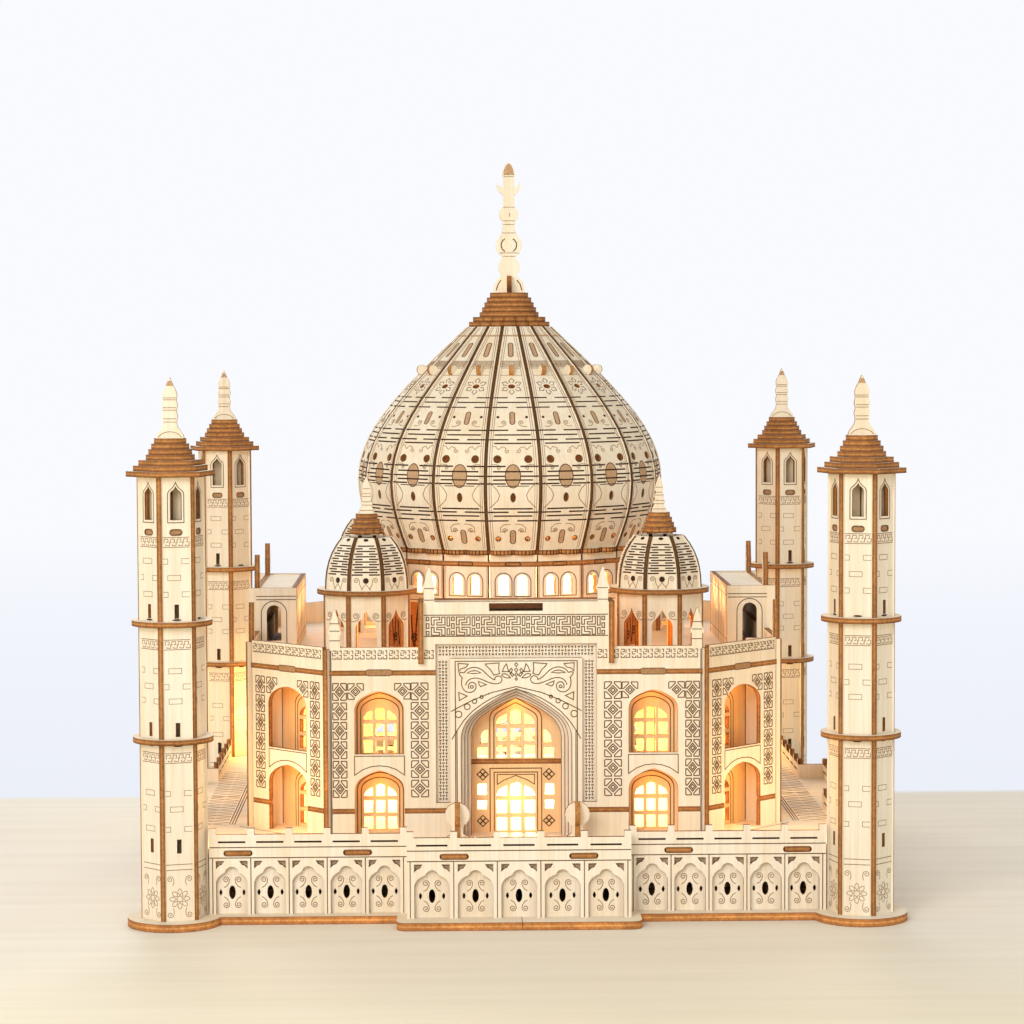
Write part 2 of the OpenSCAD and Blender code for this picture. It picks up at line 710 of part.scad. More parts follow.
cap_widths = [24.4, 22.4, 20.4, 18.4, 15.8];
module dome_cap() color(BURNT) {
  sheet(cap_z) scalloped(16.8, gores);
  sheet(cap_z + ply) scalloped(15.1, gores);
  for (i = [0:4]) sheet(cap_z + (i + 2) * ply) circle(d = cap_widths[i]);
}

finial_z = cap_z + 7 * ply;
module finial_outline() {
  turned([[6.7, 0], [6.4, 2.4], [5.4, 4.8], [3.6, 6.8], [2.2, 7.4]]);
  translate([0, 10.6]) intersection() {
    circle(r = 4.5);
    square([9, 6.4], center = true);
  }
  turned([
    [2.9, 6.8], [2.9, 14.2], [3.1, 15.4], [4.4, 16.2], [5.2, 18], [5.4, 19.6], [5, 21.6], [3.6, 23.4],
    [2.9, 25], [2.4, 27.6], [2.7, 28.4], [2.6, 29.4], [3.6, 30.4], [4.0, 32], [3.8, 33.6], [2.7, 34.8],
    [2.3, 36], [2.3, 41], [2.3, 47.6], [2.7, 48.4], [2.3, 50.4], [1.2, 52.6], [0.15, 53.4]
  ]);
  translate([0, 44.4]) difference() {
    circle(r = 4.9);
    translate([0, 3.2]) circle(r = 5.2);
  }
}

module main_finial() color(PALE) {
  translate([0, ply / 2, finial_z]) rotate([90, 0, 0]) linear_extrude(ply) finial_outline();
  for (s = [-1, 1]) translate([0, s * ply / 2, finial_z]) rotate([90, 0, s * 90])
    translate([0, 0, -ply / 2]) linear_extrude(ply)
      polygon([[0, 0], [5.7, 0], [5.4, 2.4], [4.4, 4.8], [2.6, 6.8], [0, 7]]);
}

// Crossed plates shaped as a ball on a pot, one on each side of the front portal
module topiary_half(s) polygon(concat(
  [[s * ply / 2, 0], [s * 5.4, 0], [s * 4.6, 1.6], [s * 2.2, 3.4], [s * 2, 6.2]],
  [for (a = [-60:27:75]) [s * 4.7 * cos(a), 10.6 + 4.7 * sin(a)]],
  [[s * ply / 2, 15.2]]
));

module topiaries() color(PALE) for (s = [-1, 1]) translate([s * 22.7, -113, deck_z]) {
  translate([0, ply / 2, 0]) rotate([90, 0, 0]) linear_extrude(ply) {
    topiary_half(-1);
    topiary_half(1);
  }
  rotate([90, 0, 90]) translate([0, 0, -ply / 2]) linear_extrude(ply) {
    topiary_half(-1);
    topiary_half(1);
    centred(ply, 15.2);
  }
}

// ---------------------------------------------------------------- light

module led_module() color("white") {
  translate([0, 0, deck_z]) cylinder(r = 14, h = 1.6);
  for (i = [0:5]) rotate([0, 0, 60 * i]) translate([9.5, 0, deck_z + 1.6]) {
    cylinder(r = 2.5, h = 4);
    translate([0, 0, 4]) sphere(r = 2.5);
  }
}

box_z = base_t;
box_h = 16;
module battery_box() color("dimgray") translate([battery_x, battery_y, box_z]) difference() {
  translate([-battery_l / 2, -battery_w / 2, 0]) cube([battery_l, battery_w, box_h]);
  translate([-battery_l / 2 + 2, -battery_w / 2 + 2, -1]) cube([battery_l - 4, battery_w - 4, box_h - 1]);
}

module battery_cover() color("dimgray") translate([battery_x, battery_y, 0.5])
  translate([-battery_l / 2 + 4.3, -battery_w / 2 + 4.3, 0]) cube([battery_l - 8.6, battery_w - 8.6, 2]);

cell_d = 10.5;
cell_l = 44.5;
module battery_cells() color("silver") for (i = [-1:1])
  translate([battery_x - cell_l / 2, battery_y + i * (cell_d + 0.6), box_z + 1 + cell_d / 2])
    rotate([0, 90, 0]) cylinder(d = cell_d, h = cell_l);

// Thumb slide in its slot in the base's underside
module switch_slider() color("black")
  translate([battery_x - switch_travel / 2, battery_y - battery_w / 2 - 8, 0]) {
    translate([-2.5, -1.9, 0.4]) cube([5, 3.8, 3.2]);
    translate([-3.4, -2.9, base_t + 0.2]) cube([6.8, 5.8, 1.6]);
  }

// Straight wire of radius r from a to b
module wire(a, b, r) {
  d = b - a;
  translate(a) rotate([0, acos(d[2] / norm(d)), atan2(d[1], d[0])]) cylinder(r = r, h = norm(d));
}

// Twin lead from the box to the middle of the deck and up through it to the lights
module led_lead() color("red") for (s = [-1, 1]) translate([0, s * 0.8, 0]) {
  z = box_z + 8;
  wire([battery_x + battery_l / 2 + 0.5, 14, z], [0, 0, z], 0.7);
  translate([0, 0, z]) sphere(r = 0.75);
  wire([0, 0, z], [0, 0, deck_z], 0.7);
}

base_left();
base_right();
terrace_deck();
terrace_formers();
plinth_backing();
arcade_front();
arcade_right();
arcade_rear();
arcade_left();
tower_fl_frame();
tower_fr_frame();
tower_rr_frame();
tower_rl_frame();
tower_fl_panels();
tower_fr_panels();
tower_rr_panels();
tower_rl_panels();
tower_fl_rings();
tower_fr_rings();
tower_rr_rings();
tower_rl_rings();
tower_finials();
facade_front();
facade_right();
facade_rear();
facade_left();
portal_frame_front();
portal_frame_right();
portal_frame_rear();
portal_frame_left();
iwan_walls();
chamfer_walls();
corner_ribs();
inner_walls();
floor_plates();
roof_deck();
portal_backs();
portal_cheeks();
kiosk_posts();
kiosk_panels();
kiosk_eaves();
kiosk_ribs();
kiosk_gores();
kiosk_caps();
kiosk_finials();
drum_panels();
drum_rings();
dome_ribs();
dome_gores();
dome_cap();
main_finial();
topiaries();
led_module();
led_lead();
battery_box();
battery_cover();
battery_cells();
switch_slider();
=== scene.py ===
"""Looks of the laser-cut plywood mausoleum: materials, engravings, pierced dome strips and light.

Lengths in this script are millimetres until a mesh is made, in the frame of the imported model:
origin at the centre of the base's underside, -Y towards the front portal, +Z up. The numbers in the
drawings are places and sizes on their plate, and a line's width follows its points.
"""

import random
from math import atan2, ceil, copysign, cos, degrees, dist, hypot, pi, radians, sin, sqrt, tan

import bpy
import numpy as np
from mathutils import Matrix, Vector
from mathutils.geometry import delaunay_2d_cdt


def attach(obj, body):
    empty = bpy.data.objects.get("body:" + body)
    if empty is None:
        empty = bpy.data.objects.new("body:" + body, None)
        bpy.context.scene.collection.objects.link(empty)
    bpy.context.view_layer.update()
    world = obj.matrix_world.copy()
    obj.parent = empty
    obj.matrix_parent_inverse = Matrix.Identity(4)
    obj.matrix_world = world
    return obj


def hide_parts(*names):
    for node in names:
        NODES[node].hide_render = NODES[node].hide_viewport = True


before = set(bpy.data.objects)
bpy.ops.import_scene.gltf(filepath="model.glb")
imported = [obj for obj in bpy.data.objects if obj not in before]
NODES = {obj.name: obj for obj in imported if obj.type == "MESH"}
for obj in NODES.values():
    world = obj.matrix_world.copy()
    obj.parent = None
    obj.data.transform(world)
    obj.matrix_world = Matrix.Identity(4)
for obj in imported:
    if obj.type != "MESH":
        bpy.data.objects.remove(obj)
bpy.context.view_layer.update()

MM = 0.001
SEED = 20
SIDES = (0, 90, 180, 270)
SIDE_NAMES = ("front", "right", "rear", "left")
BOTH = (-1, 1)
CORNERS = [(sx, sy) for sx in BOTH for sy in BOTH]
TOWERS = {"fl": (-1, -1), "fr": (1, -1), "rr": (1, 1), "rl": (-1, 1)}

# --- sizes shared with the CAD, in mm
PLY = 2.0
DECK_Z = 27.0
HALL = 103.7
CORNER_W = 72.2
ROOF_Z = 91.5
FLOOR_TOP = 55.5
PORTAL_Z = 117.4
IWAN_D = 90.9
HAT_BACK = 88.8
BAY_X = 52.2
BAY_DEPTH = 12.0
CHAMFER_D = (HALL + CORNER_W) / sqrt(2)
KIOSK_OFF = 57.8
KIOSK_A = 16.4
KIOSK_TOP = 117.2
TOWER_OFF = 128.0
SHAFT_A = 10.6
DRUM_R = 54.5
GORES = 18
HALF_GORE = radians(180 / GORES)


# --- shader graphs
class Graph:
    """Small helper that adds nodes to a new material, or to a new world, and links them."""

    def __init__(self, name, world=False):
        self.data = (bpy.data.worlds if world else bpy.data.materials).new(name)
        self.data.use_nodes = True
        self.tree = self.data.node_tree
        self.tree.nodes.clear()
        self.out = self.add("ShaderNodeOutputWorld" if world else "ShaderNodeOutputMaterial")

    def put(self, socket, value):
        if isinstance(value, bpy.types.NodeSocket):
            self.tree.links.new(value, socket)
        elif value is not None:
            socket.default_value = value

    def add(self, kind, **inputs):
        node = self.tree.nodes.new(kind)
        for key, value in inputs.items():
            self.put(node.inputs[key.replace("_", " ")], value)
        return node

    def coord(self, kind):
        return self.add("ShaderNodeTexCoord").outputs[kind]

    def part(self, vector, axis):
        return self.add("ShaderNodeSeparateXYZ", Vector=vector).outputs[axis]

    def noise(self, scale, detail=3.0, rough=0.55, distortion=0.0):
        """Noise in object space; scale is one number or one per axis, in cycles per metre."""
        if not isinstance(scale, tuple):
            scale = (scale,) * 3
        vector = self.add("ShaderNodeMapping", Vector=self.coord("Object"), Scale=scale).outputs["Vector"]
        return self.add("ShaderNodeTexNoise", Vector=vector, Scale=1.0, Detail=detail,
                        Roughness=rough, Distortion=distortion).outputs["Fac"]

    def ramp(self, fac, *stops):
        """Colour ramp; a stop is its place and a colour or a grey."""
        node = self.add("ShaderNodeValToRGB", Fac=fac)
        elements = node.color_ramp.elements
        while len(elements) < len(stops):
            elements.new(0.5)
        for element, (place, colour) in zip(elements, stops):
            element.position = place
            element.color = (*colour, 1.0) if isinstance(colour, tuple) else (colour, colour, colour, 1.0)
        return node.outputs["Color"]

    def between(self, value, low, high):
        """Nought at low, one at high."""
        return self.add("ShaderNodeMapRange", Value=value, From_Min=low, From_Max=high).outputs[0]

    def mix(self, fac, a, b, blend="MIX"):
        node = self.tree.nodes.new("ShaderNodeMix")
        node.data_type = "RGBA"
        node.blend_type = blend
        self.put(node.inputs["Factor"], fac)
        colour_a, colour_b, result = node.inputs[6], node.inputs[7], node.outputs[2]
        for socket, value in ((colour_a, a), (colour_b, b)):
            self.put(socket, (*value, 1.0) if isinstance(value, tuple) else value)
        return result

    def times(self, a, b):
        return self.mix(1.0, a, b, "MULTIPLY")

    def fraction(self, value):
        node = self.tree.nodes.new("ShaderNodeMath")
        node.operation = "FRACT"
        self.put(node.inputs[0], value)
        return node.outputs[0]

    def attribute(self, name):
        """A number that note() wrote per vertex."""
        node = self.add("ShaderNodeAttribute")
        node.attribute_name = name
        return node.outputs["Fac"]

    def bump(self, height, strength, distance):
        return self.add("ShaderNodeBump", Height=height, Strength=strength,
                        Distance=distance).outputs["Normal"]

    def surface(self, shader):
        self.put(self.out.inputs["Surface"], shader.outputs[0])
        return self.data

    def finish(self, colour, rough, normal=None, **sockets):
        return self.surface(self.add("ShaderNodeBsdfPrincipled", Base_Color=colour, Roughness=rough,
                                     Normal=normal, **sockets))


ALONG_FIBRE, ACROSS_FIBRE = 28.0, 900.0


def plywood(name, along, glow=(1.0, 1.0, 1.0)):
    """Pale basswood face with fine fibres along one axis; the vertex attribute tone shifts each plate.

    glow tints the walls that the lamps inside shine through.
    """
    g = Graph(name)
    scale = tuple(ALONG_FIBRE if axis == along else ACROSS_FIBRE for axis in "xyz")
    fibre = g.noise(scale, 4.0, 0.6)
    wave = g.noise(tuple(s * 0.16 for s in scale), 2.0, 0.5, 0.4)
    blotch = g.noise(14.0, 2.0)
    colour = g.ramp(fibre, (0.25, (0.815, 0.70, 0.52)), (0.62, (0.90, 0.81, 0.655)))
    for layer in (
        g.ramp(wave, (0.35, (0.965, 0.93, 0.87)), (0.6, 1.0)),
        g.ramp(g.attribute("tone"), (0.0, (0.95, 0.92, 0.87)), (0.5, (0.985, 0.97, 0.95)), (1.0, 1.0)),
        g.ramp(blotch, (0.35, (0.975, 0.955, 0.92)), (0.65, 1.0)),
        glow,
    ):
        colour = g.times(colour, layer)
    rough = g.ramp(fibre, (0.3, 0.72), (0.7, 0.6))
    return g.finish(colour, rough, g.bump(fibre, 0.25, 0.00008), Specular_IOR_Level=0.25)


BURNT = ((0.12, 0.040, 0.011), (0.37, 0.15, 0.042), (0.54, 0.26, 0.08))


def burnt_edge(name, light=1.0, stacked=False):
    """Laser-cut edge: the plies show as bands across the sheet, with soot streaks.

    A stack of sheets is one part, so its bands come from the attribute sheets, which counts them.
    """
    g = Graph(name)
    across = g.fraction(g.attribute("sheets")) if stacked else g.attribute("across")
    soot_reach = 0.24 if stacked else 0.12
    soot = g.noise(700.0, 3.0, 0.6)
    drift = g.noise(60.0, 2.0)
    dark, brown, pale = (tuple(min(1.0, v * light) for v in colour) for colour in BURNT)
    plies = g.ramp(across, (0.0, dark), (soot_reach, brown), (0.36, brown), (0.44, pale), (0.58, pale),
                   (0.66, brown), (0.90, brown), (1.0, dark))
    streak = g.ramp(soot, (0.3, (0.62, 0.58, 0.55)), (0.65, 1.0))
    fade = g.ramp(drift, (0.35, (0.8, 0.77, 0.74)), (0.65, (1.12, 1.1, 1.06)))
    colour = g.times(g.times(plies, streak), fade)
    return g.finish(colour, 0.7, g.bump(soot, 0.35, 0.0001), Specular_IOR_Level=0.2)


def scorch(name, low, high):
    """Engraved line or field: charred wood of uneven depth; also dark fills that paint shade into slots,
    holes and gaps.
    """
    g = Graph(name)
    speck = g.noise(1500.0, 3.0, 0.65)
    colour = g.ramp(speck, (0.3, low), (0.7, high))
    return g.finish(colour, 0.8, g.bump(speck, 0.3, 0.00005), Specular_IOR_Level=0.1)


def plastic(name, colour, rough, **sockets):
    g = Graph(name)
    grain = g.noise(2500.0, 2.0)
    smear = g.noise(90.0, 3.0)
    shade = g.ramp(smear, (0.3, tuple(v * 0.8 for v in colour)), (0.7, colour))
    sheen = g.ramp(smear, (0.3, rough + 0.1), (0.7, rough))
    return g.finish(shade, sheen, g.bump(grain, 0.2, 0.00004), **sockets)


FACE_UP = plywood("plywood_upright", "z")
FACE_FLAT = plywood("plywood_flat", "x")
FACE_LIT = plywood("plywood_lit", "z", (1.0, 0.80, 0.56))
EDGE = burnt_edge("plywood_edge")
EDGE_LIGHT = burnt_edge("plywood_edge_light", 1.6)
# burnt edge darkened to 0.3 as painted shade, for the ribs that sit in the narrow gaps between dome strips
EDGE_SHADED = burnt_edge("plywood_edge_shaded", 0.30)
EDGE_STACK = burnt_edge("plywood_edge_stack", 1.1, True)
INK = scorch("engraved_line", (0.09, 0.045, 0.018), (0.20, 0.11, 0.05))
FINE_INK = scorch("engraved_fine_line", (0.24, 0.145, 0.075), (0.40, 0.27, 0.155))
# near-black charred cuts; the same material fills slots and gaps as painted shade
KERF_AND_SHADE = scorch("kerf_cut_and_shade", (0.03, 0.013, 0.006), (0.075, 0.034, 0.015))
FIELD = scorch("engraved_field", (0.42, 0.25, 0.13), (0.58, 0.37, 0.205))
# red-brown engraved field darkened with painted shade, for the low drum wall that lies in shade
CARVED_AND_SHADED = scorch("carved_and_shaded_field", (0.36, 0.13, 0.04), (0.52, 0.22, 0.075))
TAB = scorch("tab_end", (0.30, 0.15, 0.065), (0.50, 0.28, 0.13))
# dark red fills plugging the dome's pierced holes: painted shade of the dim dome inside, reddened for its
# orange lamp
HOLE_SHADE = scorch("pierced_hole_shade", (0.09, 0.028, 0.008), (0.26, 0.08, 0.018))


# --- two-tone plates
def dress(mesh, *mats):
    """Gives a mesh these materials."""
    mesh.materials.clear()
    for mat in mats:
        mesh.materials.append(mat)


def note(mesh, **values):
    """Writes numbers per vertex for the shaders to read."""
    for name, numbers in values.items():
        mesh.attributes.new(name, "FLOAT", "POINT").data.foreach_set("value", numbers)


def loose_parts(mesh):
    """Polygons of every loose part, and all vertices; vertices that share a place count as one."""
    co = np.empty(len(mesh.vertices) * 3, np.float32)
    mesh.vertices.foreach_get("co", co)
    co = co.reshape(-1, 3)
    ids = np.unique(np.round(co * 2e5).astype(np.int64), axis=0, return_inverse=True)[1].reshape(-1)
    parent = list(range(int(ids.max()) + 1))

    def find(a):
        while parent[a] != a:
            parent[a] = parent[parent[a]]
            a = parent[a]
        return a

    corners = [[int(ids[v]) for v in poly.vertices] for poly in mesh.polygons]
    for first, *others in corners:
        for c in others:
            parent[find(c)] = find(first)
    groups = {}
    for i, c in enumerate(corners):
        groups.setdefault(find(c[0]), []).append(i)
    return groups.values(), co


def plate_normal(polys, mesh):
    """Direction with the largest area in a part: the normal of the sheet it was cut from."""
    areas = {}
    for i in polys:
        n = mesh.polygons[i].normal
        key = tuple(round(v, 1) for v in n)
        if key < (0.0, 0.0, 0.0):
            key = tuple(-v for v in key)
        total, axis = areas.get(key, (0.0, Vector()))
        sign = -1.0 if axis.length and axis.dot(n) < 0 else 1.0
        areas[key] = (total + mesh.polygons[i].area, axis + n * sign * mesh.polygons[i].area)
    return max(areas.values(), key=lambda v: v[0])[1].normalized()


def slimness(poly, mesh):
    """Smallest extent of a polygon, taken as twice its area over its longest side."""
    corners = [mesh.vertices[v].co for v in poly.vertices]
    longest = max((a - b).length for a, b in zip(corners, corners[1:] + corners[:1]))
    return 2 * poly.area / max(longest, 1e-9)


FACE_DOT = 0.97                 # cosine to the sheet's normal, above which a polygon is a face
BENT_DOT = 0.8                  # cosine to a strip's sideways axis, below which it is one
CROSS_REACH = 9.0 * MM          # how far a crossed pair of plates reaches from its upright axis
CROSS_FACE = 0.53 * PLY * MM    # and how far its faces lie from that axis


def crossed_face(poly, axes):
    """Whether a polygon lies on a face of two plates that cross at one of these upright axes."""
    for x, y in axes:
        dx, dy = poly.center.x - x, poly.center.y - y
        if hypot(dx, dy) < CROSS_REACH:
            return ((abs(poly.normal.x) > 0.99 and abs(dx) < CROSS_FACE)
                    or (abs(poly.normal.y) > 0.99 and abs(dy) < CROSS_FACE))
    return False


def two_tone(obj, face, edge, rng, lying=False, bent=None, broad=None, only_broad=False, crossed=None):
    """Pale material on the sheet's faces and a burnt one on its cut edges, part by part.

    lying is for plates whose faces are level, bent gives a strip's sideways axis, broad is the width
    above which a polygon is never a cut edge (only_broad: and below which it always is one), and
    crossed lists the upright axes of slotted pairs of plates.
    """
    mesh = obj.data
    dress(mesh, face, edge)
    groups, co = loose_parts(mesh)
    across = np.full(len(co), 0.5, np.float32)
    tone = np.zeros(len(co), np.float32)
    sheets = np.zeros(len(co), np.float32)
    for polys in groups:
        verts = sorted({v for i in polys for v in mesh.polygons[i].vertices})
        tone[verts] = rng.uniform(0.0, 1.0)
        if bent:
            axis = bent(sum((Vector(co[v]) for v in verts), Vector()) / len(verts))
        else:
            axis = Vector((0.0, 0.0, 1.0)) if lying else plate_normal(polys, mesh)
        along = co[verts] @ np.array(axis, np.float32)
        span = max(float(along.max() - along.min()), 1e-6)
        across[verts] = (along - along.min()) / span
        sheets[verts] = (along - along.min()) / (PLY * MM)
        for i in polys:
            dot = abs(mesh.polygons[i].normal.dot(axis))
            flat = dot < BENT_DOT if bent else dot > FACE_DOT
            if broad and (only_broad or not flat):
                flat = slimness(mesh.polygons[i], mesh) > broad * MM
            if crossed:
                flat = crossed_face(mesh.polygons[i], crossed)
            mesh.polygons[i].material_index = 0 if flat else 1
    note(mesh, across=across, tone=tone, sheets=sheets)


def kiosk_tangent(centre):
    """Sideways direction of the kiosk dome strip that has this centre."""
    cx = copysign(KIOSK_OFF * MM, centre.x)
    cy = copysign(KIOSK_OFF * MM, centre.y)
    angle = round(atan2(centre.y - cy, centre.x - cx) / (pi / 4)) * (pi / 4)
    return Vector((-sin(angle), cos(angle), 0.0))


BASES = ("base_left", "base_right")
STACKS = ("drum_rings", "dome_cap", "kiosk_caps", *(f"tower_{tag}_rings" for tag in TOWERS))
FRAMES = [f"portal_frame_{side}" for side in SIDE_NAMES]
ARCADES = [f"arcade_{side}" for side in SIDE_NAMES]
FLAT_NODES = (*BASES, "terrace_deck", "roof_deck", "floor_plates", "kiosk_eaves", *STACKS)
PLAIN_NODES = ("led_module", "led_lead", "battery_box", "battery_cover", "battery_cells", "switch_slider")

CROSSED = {"topiaries": [(s * 22.7 * MM, -113.0 * MM) for s in BOTH], "main_finial": [(0.0, 0.0)]}
BROAD = dict.fromkeys(["portal_backs", *ARCADES], 2.6)
FACES = dict.fromkeys(FLAT_NODES, FACE_FLAT) | {"iwan_walls": FACE_LIT, "inner_walls": FACE_LIT}
# the dome and kiosk ribs take the burnt edge with painted shade
EDGES = (dict.fromkeys(BASES, EDGE_LIGHT) | dict.fromkeys(("dome_ribs", "kiosk_ribs"), EDGE_SHADED)
         | dict.fromkeys([*STACKS, *FRAMES], EDGE_STACK))

rng = random.Random(SEED)
for name in sorted(NODES):
    if name in PLAIN_NODES or name == "dome_gores":
        continue
    two_tone(NODES[name], FACES.get(name, FACE_UP), EDGES.get(name, EDGE), rng,
             lying=name in FLAT_NODES, bent=kiosk_tangent if name == "kiosk_gores" else None,
             broad=BROAD.get(name), only_broad=name == "portal_backs", crossed=CROSSED.get(name))

LED = Graph("led_lens").finish((1.0, 0.72, 0.38, 1.0), 0.4, Emission_Color=(1.0, 0.62, 0.26, 1.0),
                               Emission_Strength=12.0)
BLACK = (0.035, 0.035, 0.038)
PAINT = {
    "led_module": LED,
    "led_lead": plastic("lead_insulation", (0.42, 0.03, 0.025), 0.45),
    "battery_box": plastic("box_plastic", BLACK, 0.5),
    "battery_cover": plastic("cover_plastic", BLACK, 0.55),
    "battery_cells": plastic("cell_can", (0.5, 0.5, 0.5), 0.3, Metallic=0.9),
    "switch_slider": plastic("slider_plastic", (0.03, 0.03, 0.032), 0.4),
}
for name, mat in PAINT.items():
    mesh = NODES[name].data
    dress(mesh, mat)
    mesh.polygons.foreach_set("material_index", [0] * len(mesh.polygons))


# --- placing drawings on plates
def heading(az):
    """Unit vectors on side az: to the right along it, and outwards."""
    a = radians(az)
    return Vector((cos(a), sin(a), 0)), Vector((sin(a), -cos(a), 0))


def upright(az, far):
    """Wall on side az with its outer face this far from the axis: x to the right, y up, h outwards."""
    right, out = heading(az)
    return lambda x, y, h: right * x + out * (far + h) + Vector((0, 0, y))


def shifted(place, dx, dy):
    return lambda x, y, h: place(x + dx, y + dy, h)


def about(cx, cy, place):
    """The same placing round another upright axis."""
    return lambda x, y, h: place(x, y, h) + Vector((cx, cy, 0))


# --- ink
DEPTH = 0.06         # how far an engraving's mesh stands proud of the plate
LINE_WEIGHT = 1.3    # burn width over the drawn width
SAME = 1e-3          # points closer than this are one
HAIRPIN = 0.2        # length of two summed unit directions, below which a corner turns back on itself
LONGEST_MITRE = 2.2


class Sheet:
    """Collects flat strips and filled shapes, and turns them into one closed mesh per material."""

    def __init__(self, name):
        self.name = name
        self.store = {}

    def _put(self, mat, rings, faces):
        verts, polys = self.store.setdefault(mat.name, ([], []))
        base = len(verts)
        verts.extend(rings)
        polys.extend([base + i for i in f] for f in faces)

    def line(self, place, points, width=0.3, closed=False, mat=None, proud=DEPTH, step=None):
        """Strip of the given width along a polyline; step splits long segments on a bent plate."""
        if step:
            points = split(points, closed, step)
        pts = [points[0]]
        for p in points[1:]:
            if dist(p, pts[-1]) > SAME:
                pts.append(p)
        if closed and dist(pts[0], pts[-1]) < SAME:
            pts.pop()
        n = len(pts)
        if n < 2:
            return
        left, right = [], []
        for i, p in enumerate(pts):
            before = unit(pts[i - 1], p) if (i or closed) else None
            after = unit(p, pts[(i + 1) % n]) if (i < n - 1 or closed) else None
            d1, d2 = before or after, after or before
            nx, ny = -(d1[1] + d2[1]), d1[0] + d2[0]
            size = hypot(nx, ny)
            reach = min(2.0 / size, LONGEST_MITRE) if size >= HAIRPIN else 1.0
            if size < HAIRPIN:
                nx, ny, size = -d1[1], d1[0], 1.0
            k = width * LINE_WEIGHT / 2 * reach / size
            left.append((p[0] + nx * k, p[1] + ny * k))
            right.append((p[0] - nx * k, p[1] - ny * k))
        rings = [place(x, y, h) for h in (proud, -DEPTH) for x, y in left + right]
        faces, low = [], 2 * n
        for i in range(n if closed else n - 1):
            l0, l1, r0, r1 = i, (i + 1) % n, n + i, n + (i + 1) % n
            faces += [(l0, r0, r1, l1), (low + l0, low + l1, low + r1, low + r0),
                      (l0, l1, low + l1, low + l0), (r1, r0, low + r0, low + r1)]
        if not closed:
            faces += [(0, low, low + n, n), (n - 1, low - 1, 2 * low - 1, low + n - 1)]
        self._put(mat or INK, rings, faces)

    def fine(self, place, points, width=0.2, closed=False, step=None):
        self.line(place, points, width, closed, FINE_INK, step=step)

    def bars(self, place, rows, width=0.2, mat=None):
        """Level lines; rows gives the height and half the length of each."""
        for z, half in rows:
            self.line(place, [(-half, z), (half, z)], width, mat=mat)

    def fill(self, place, outline, mat=None, proud=DEPTH * 0.7, low=-DEPTH):
        """Filled convex shape between the heights low and proud."""
        n = len(outline)
        rings = [place(x, y, h) for h in (proud, low) for x, y in outline]
        faces = [tuple(range(n)), tuple(range(2 * n - 1, n - 1, -1))]
        for i in range(n):
            j = (i + 1) % n
            faces.append((j, i, n + i, n + j))
        self._put(mat or FIELD, rings, faces)

    def lines(self, place, strokes, width=0.3, mat=None, step=None):
        for points, closed in strokes:
            self.line(place, points, width, closed, mat, step=step)

    def pair(self, place, points, width=0.2, step=None):
        """Fine line and its mirror image."""
        self.lines(place, mirrored([(points, False)]), width, FINE_INK, step)

    def scrolls(self, place, cx, cy, r, tail, width=0.2, step=None):
        self.pair(place, scroll(cx, cy, r, tail=tail)[0], width, step)

    def make(self):
        for mat_name, (verts, polys) in self.store.items():
            mat = bpy.data.materials[mat_name]
            obj = piece(f"{self.name}_{mat_name}", verts, polys, mat)
            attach(obj, "root")


def piece(name, verts, polys, *mats):
    """New object in the scene from vertices in millimetres."""
    mesh = bpy.data.meshes.new(name)
    mesh.from_pydata([Vector(v) * MM for v in verts], [], polys)
    dress(mesh, *mats)
    return link(bpy.data.objects.new(name, mesh))


def link(obj):
    bpy.context.scene.collection.objects.link(obj)
    return obj


def draw(name, drawing, *args):
    """Makes the pieces of one drawing."""
    sheet = Sheet(name)
    drawing(sheet, *args)
    sheet.make()


def unit(p, q):
    """Direction from p to q."""
    size = dist(p, q) or 1.0
    return (q[0] - p[0]) / size, (q[1] - p[1]) / size


def split(points, closed, step):
    """The same polyline with no segment longer than step."""
    out = [points[0]]
    for p, q in zip(points, points[1:] + ([points[0]] if closed else [])):
        n = max(1, ceil(dist(p, q) / step))
        out += [(p[0] + (q[0] - p[0]) * i / n, p[1] + (q[1] - p[1]) * i / n) for i in range(1, n + 1)]
    return out[:-1] if closed else out


# --- outlines
def box(x0, y0, x1, y1):
    return [(x0, y0), (x1, y0), (x1, y1), (x0, y1)]


def oval(cx, cy, a, b, n=16):
    return [(cx + a * cos(t), cy + b * sin(t)) for t in (2 * pi * i / n for i in range(n))]


def arc(cx, cy, r, start, end, step, ry=None):
    """Points on an arc, from start to end in degrees; ry is its height where that differs."""
    return [(cx + r * cos(radians(t)), cy + (ry or r) * sin(radians(t))) for t in range(start, end + 1, step)]


def pill(cx, cy, w, h, n=5):
    """Slot with round ends, w wide and h high."""
    r = min(w, h) / 2
    dx, dy = w / 2 - r, h / 2 - r
    out = []
    for k, (qx, qy) in enumerate(((1, 1), (-1, 1), (-1, -1), (1, -1))):
        turns = [pi / 2 * (k + i / n) for i in range(n + 1)]
        out += [(cx + qx * dx + r * cos(a), cy + qy * dy + r * sin(a)) for a in turns]
    return out


def spiral(cx, cy, r, turns, start, hand, n, eye=0.18):
    """Scroll that winds from its rim to its eye, whose radius is a share of the rim's."""
    out = []
    for t in (i / n for i in range(n + 1)):
        a, k = start + hand * 2 * pi * turns * t, r * (1 - (1 - eye) * t)
        out.append((cx + k * cos(a), cy + k * sin(a)))
    return out


def bezier(p0, p1, p2, p3, n=10):
    out = []
    for t, u in ((i / n, 1 - i / n) for i in range(n + 1)):
        out.append(tuple(u ** 3 * a + 3 * u * u * t * b + 3 * u * t * t * c + t ** 3 * d
                         for a, b, c, d in zip(p0, p1, p2, p3)))
    return out


def curve(*points):
    """Cubic curves end to end; each gives two handles and its end, after the first point."""
    return [p for i in range(0, len(points) - 1, 3) for p in bezier(*points[i:i + 4])]


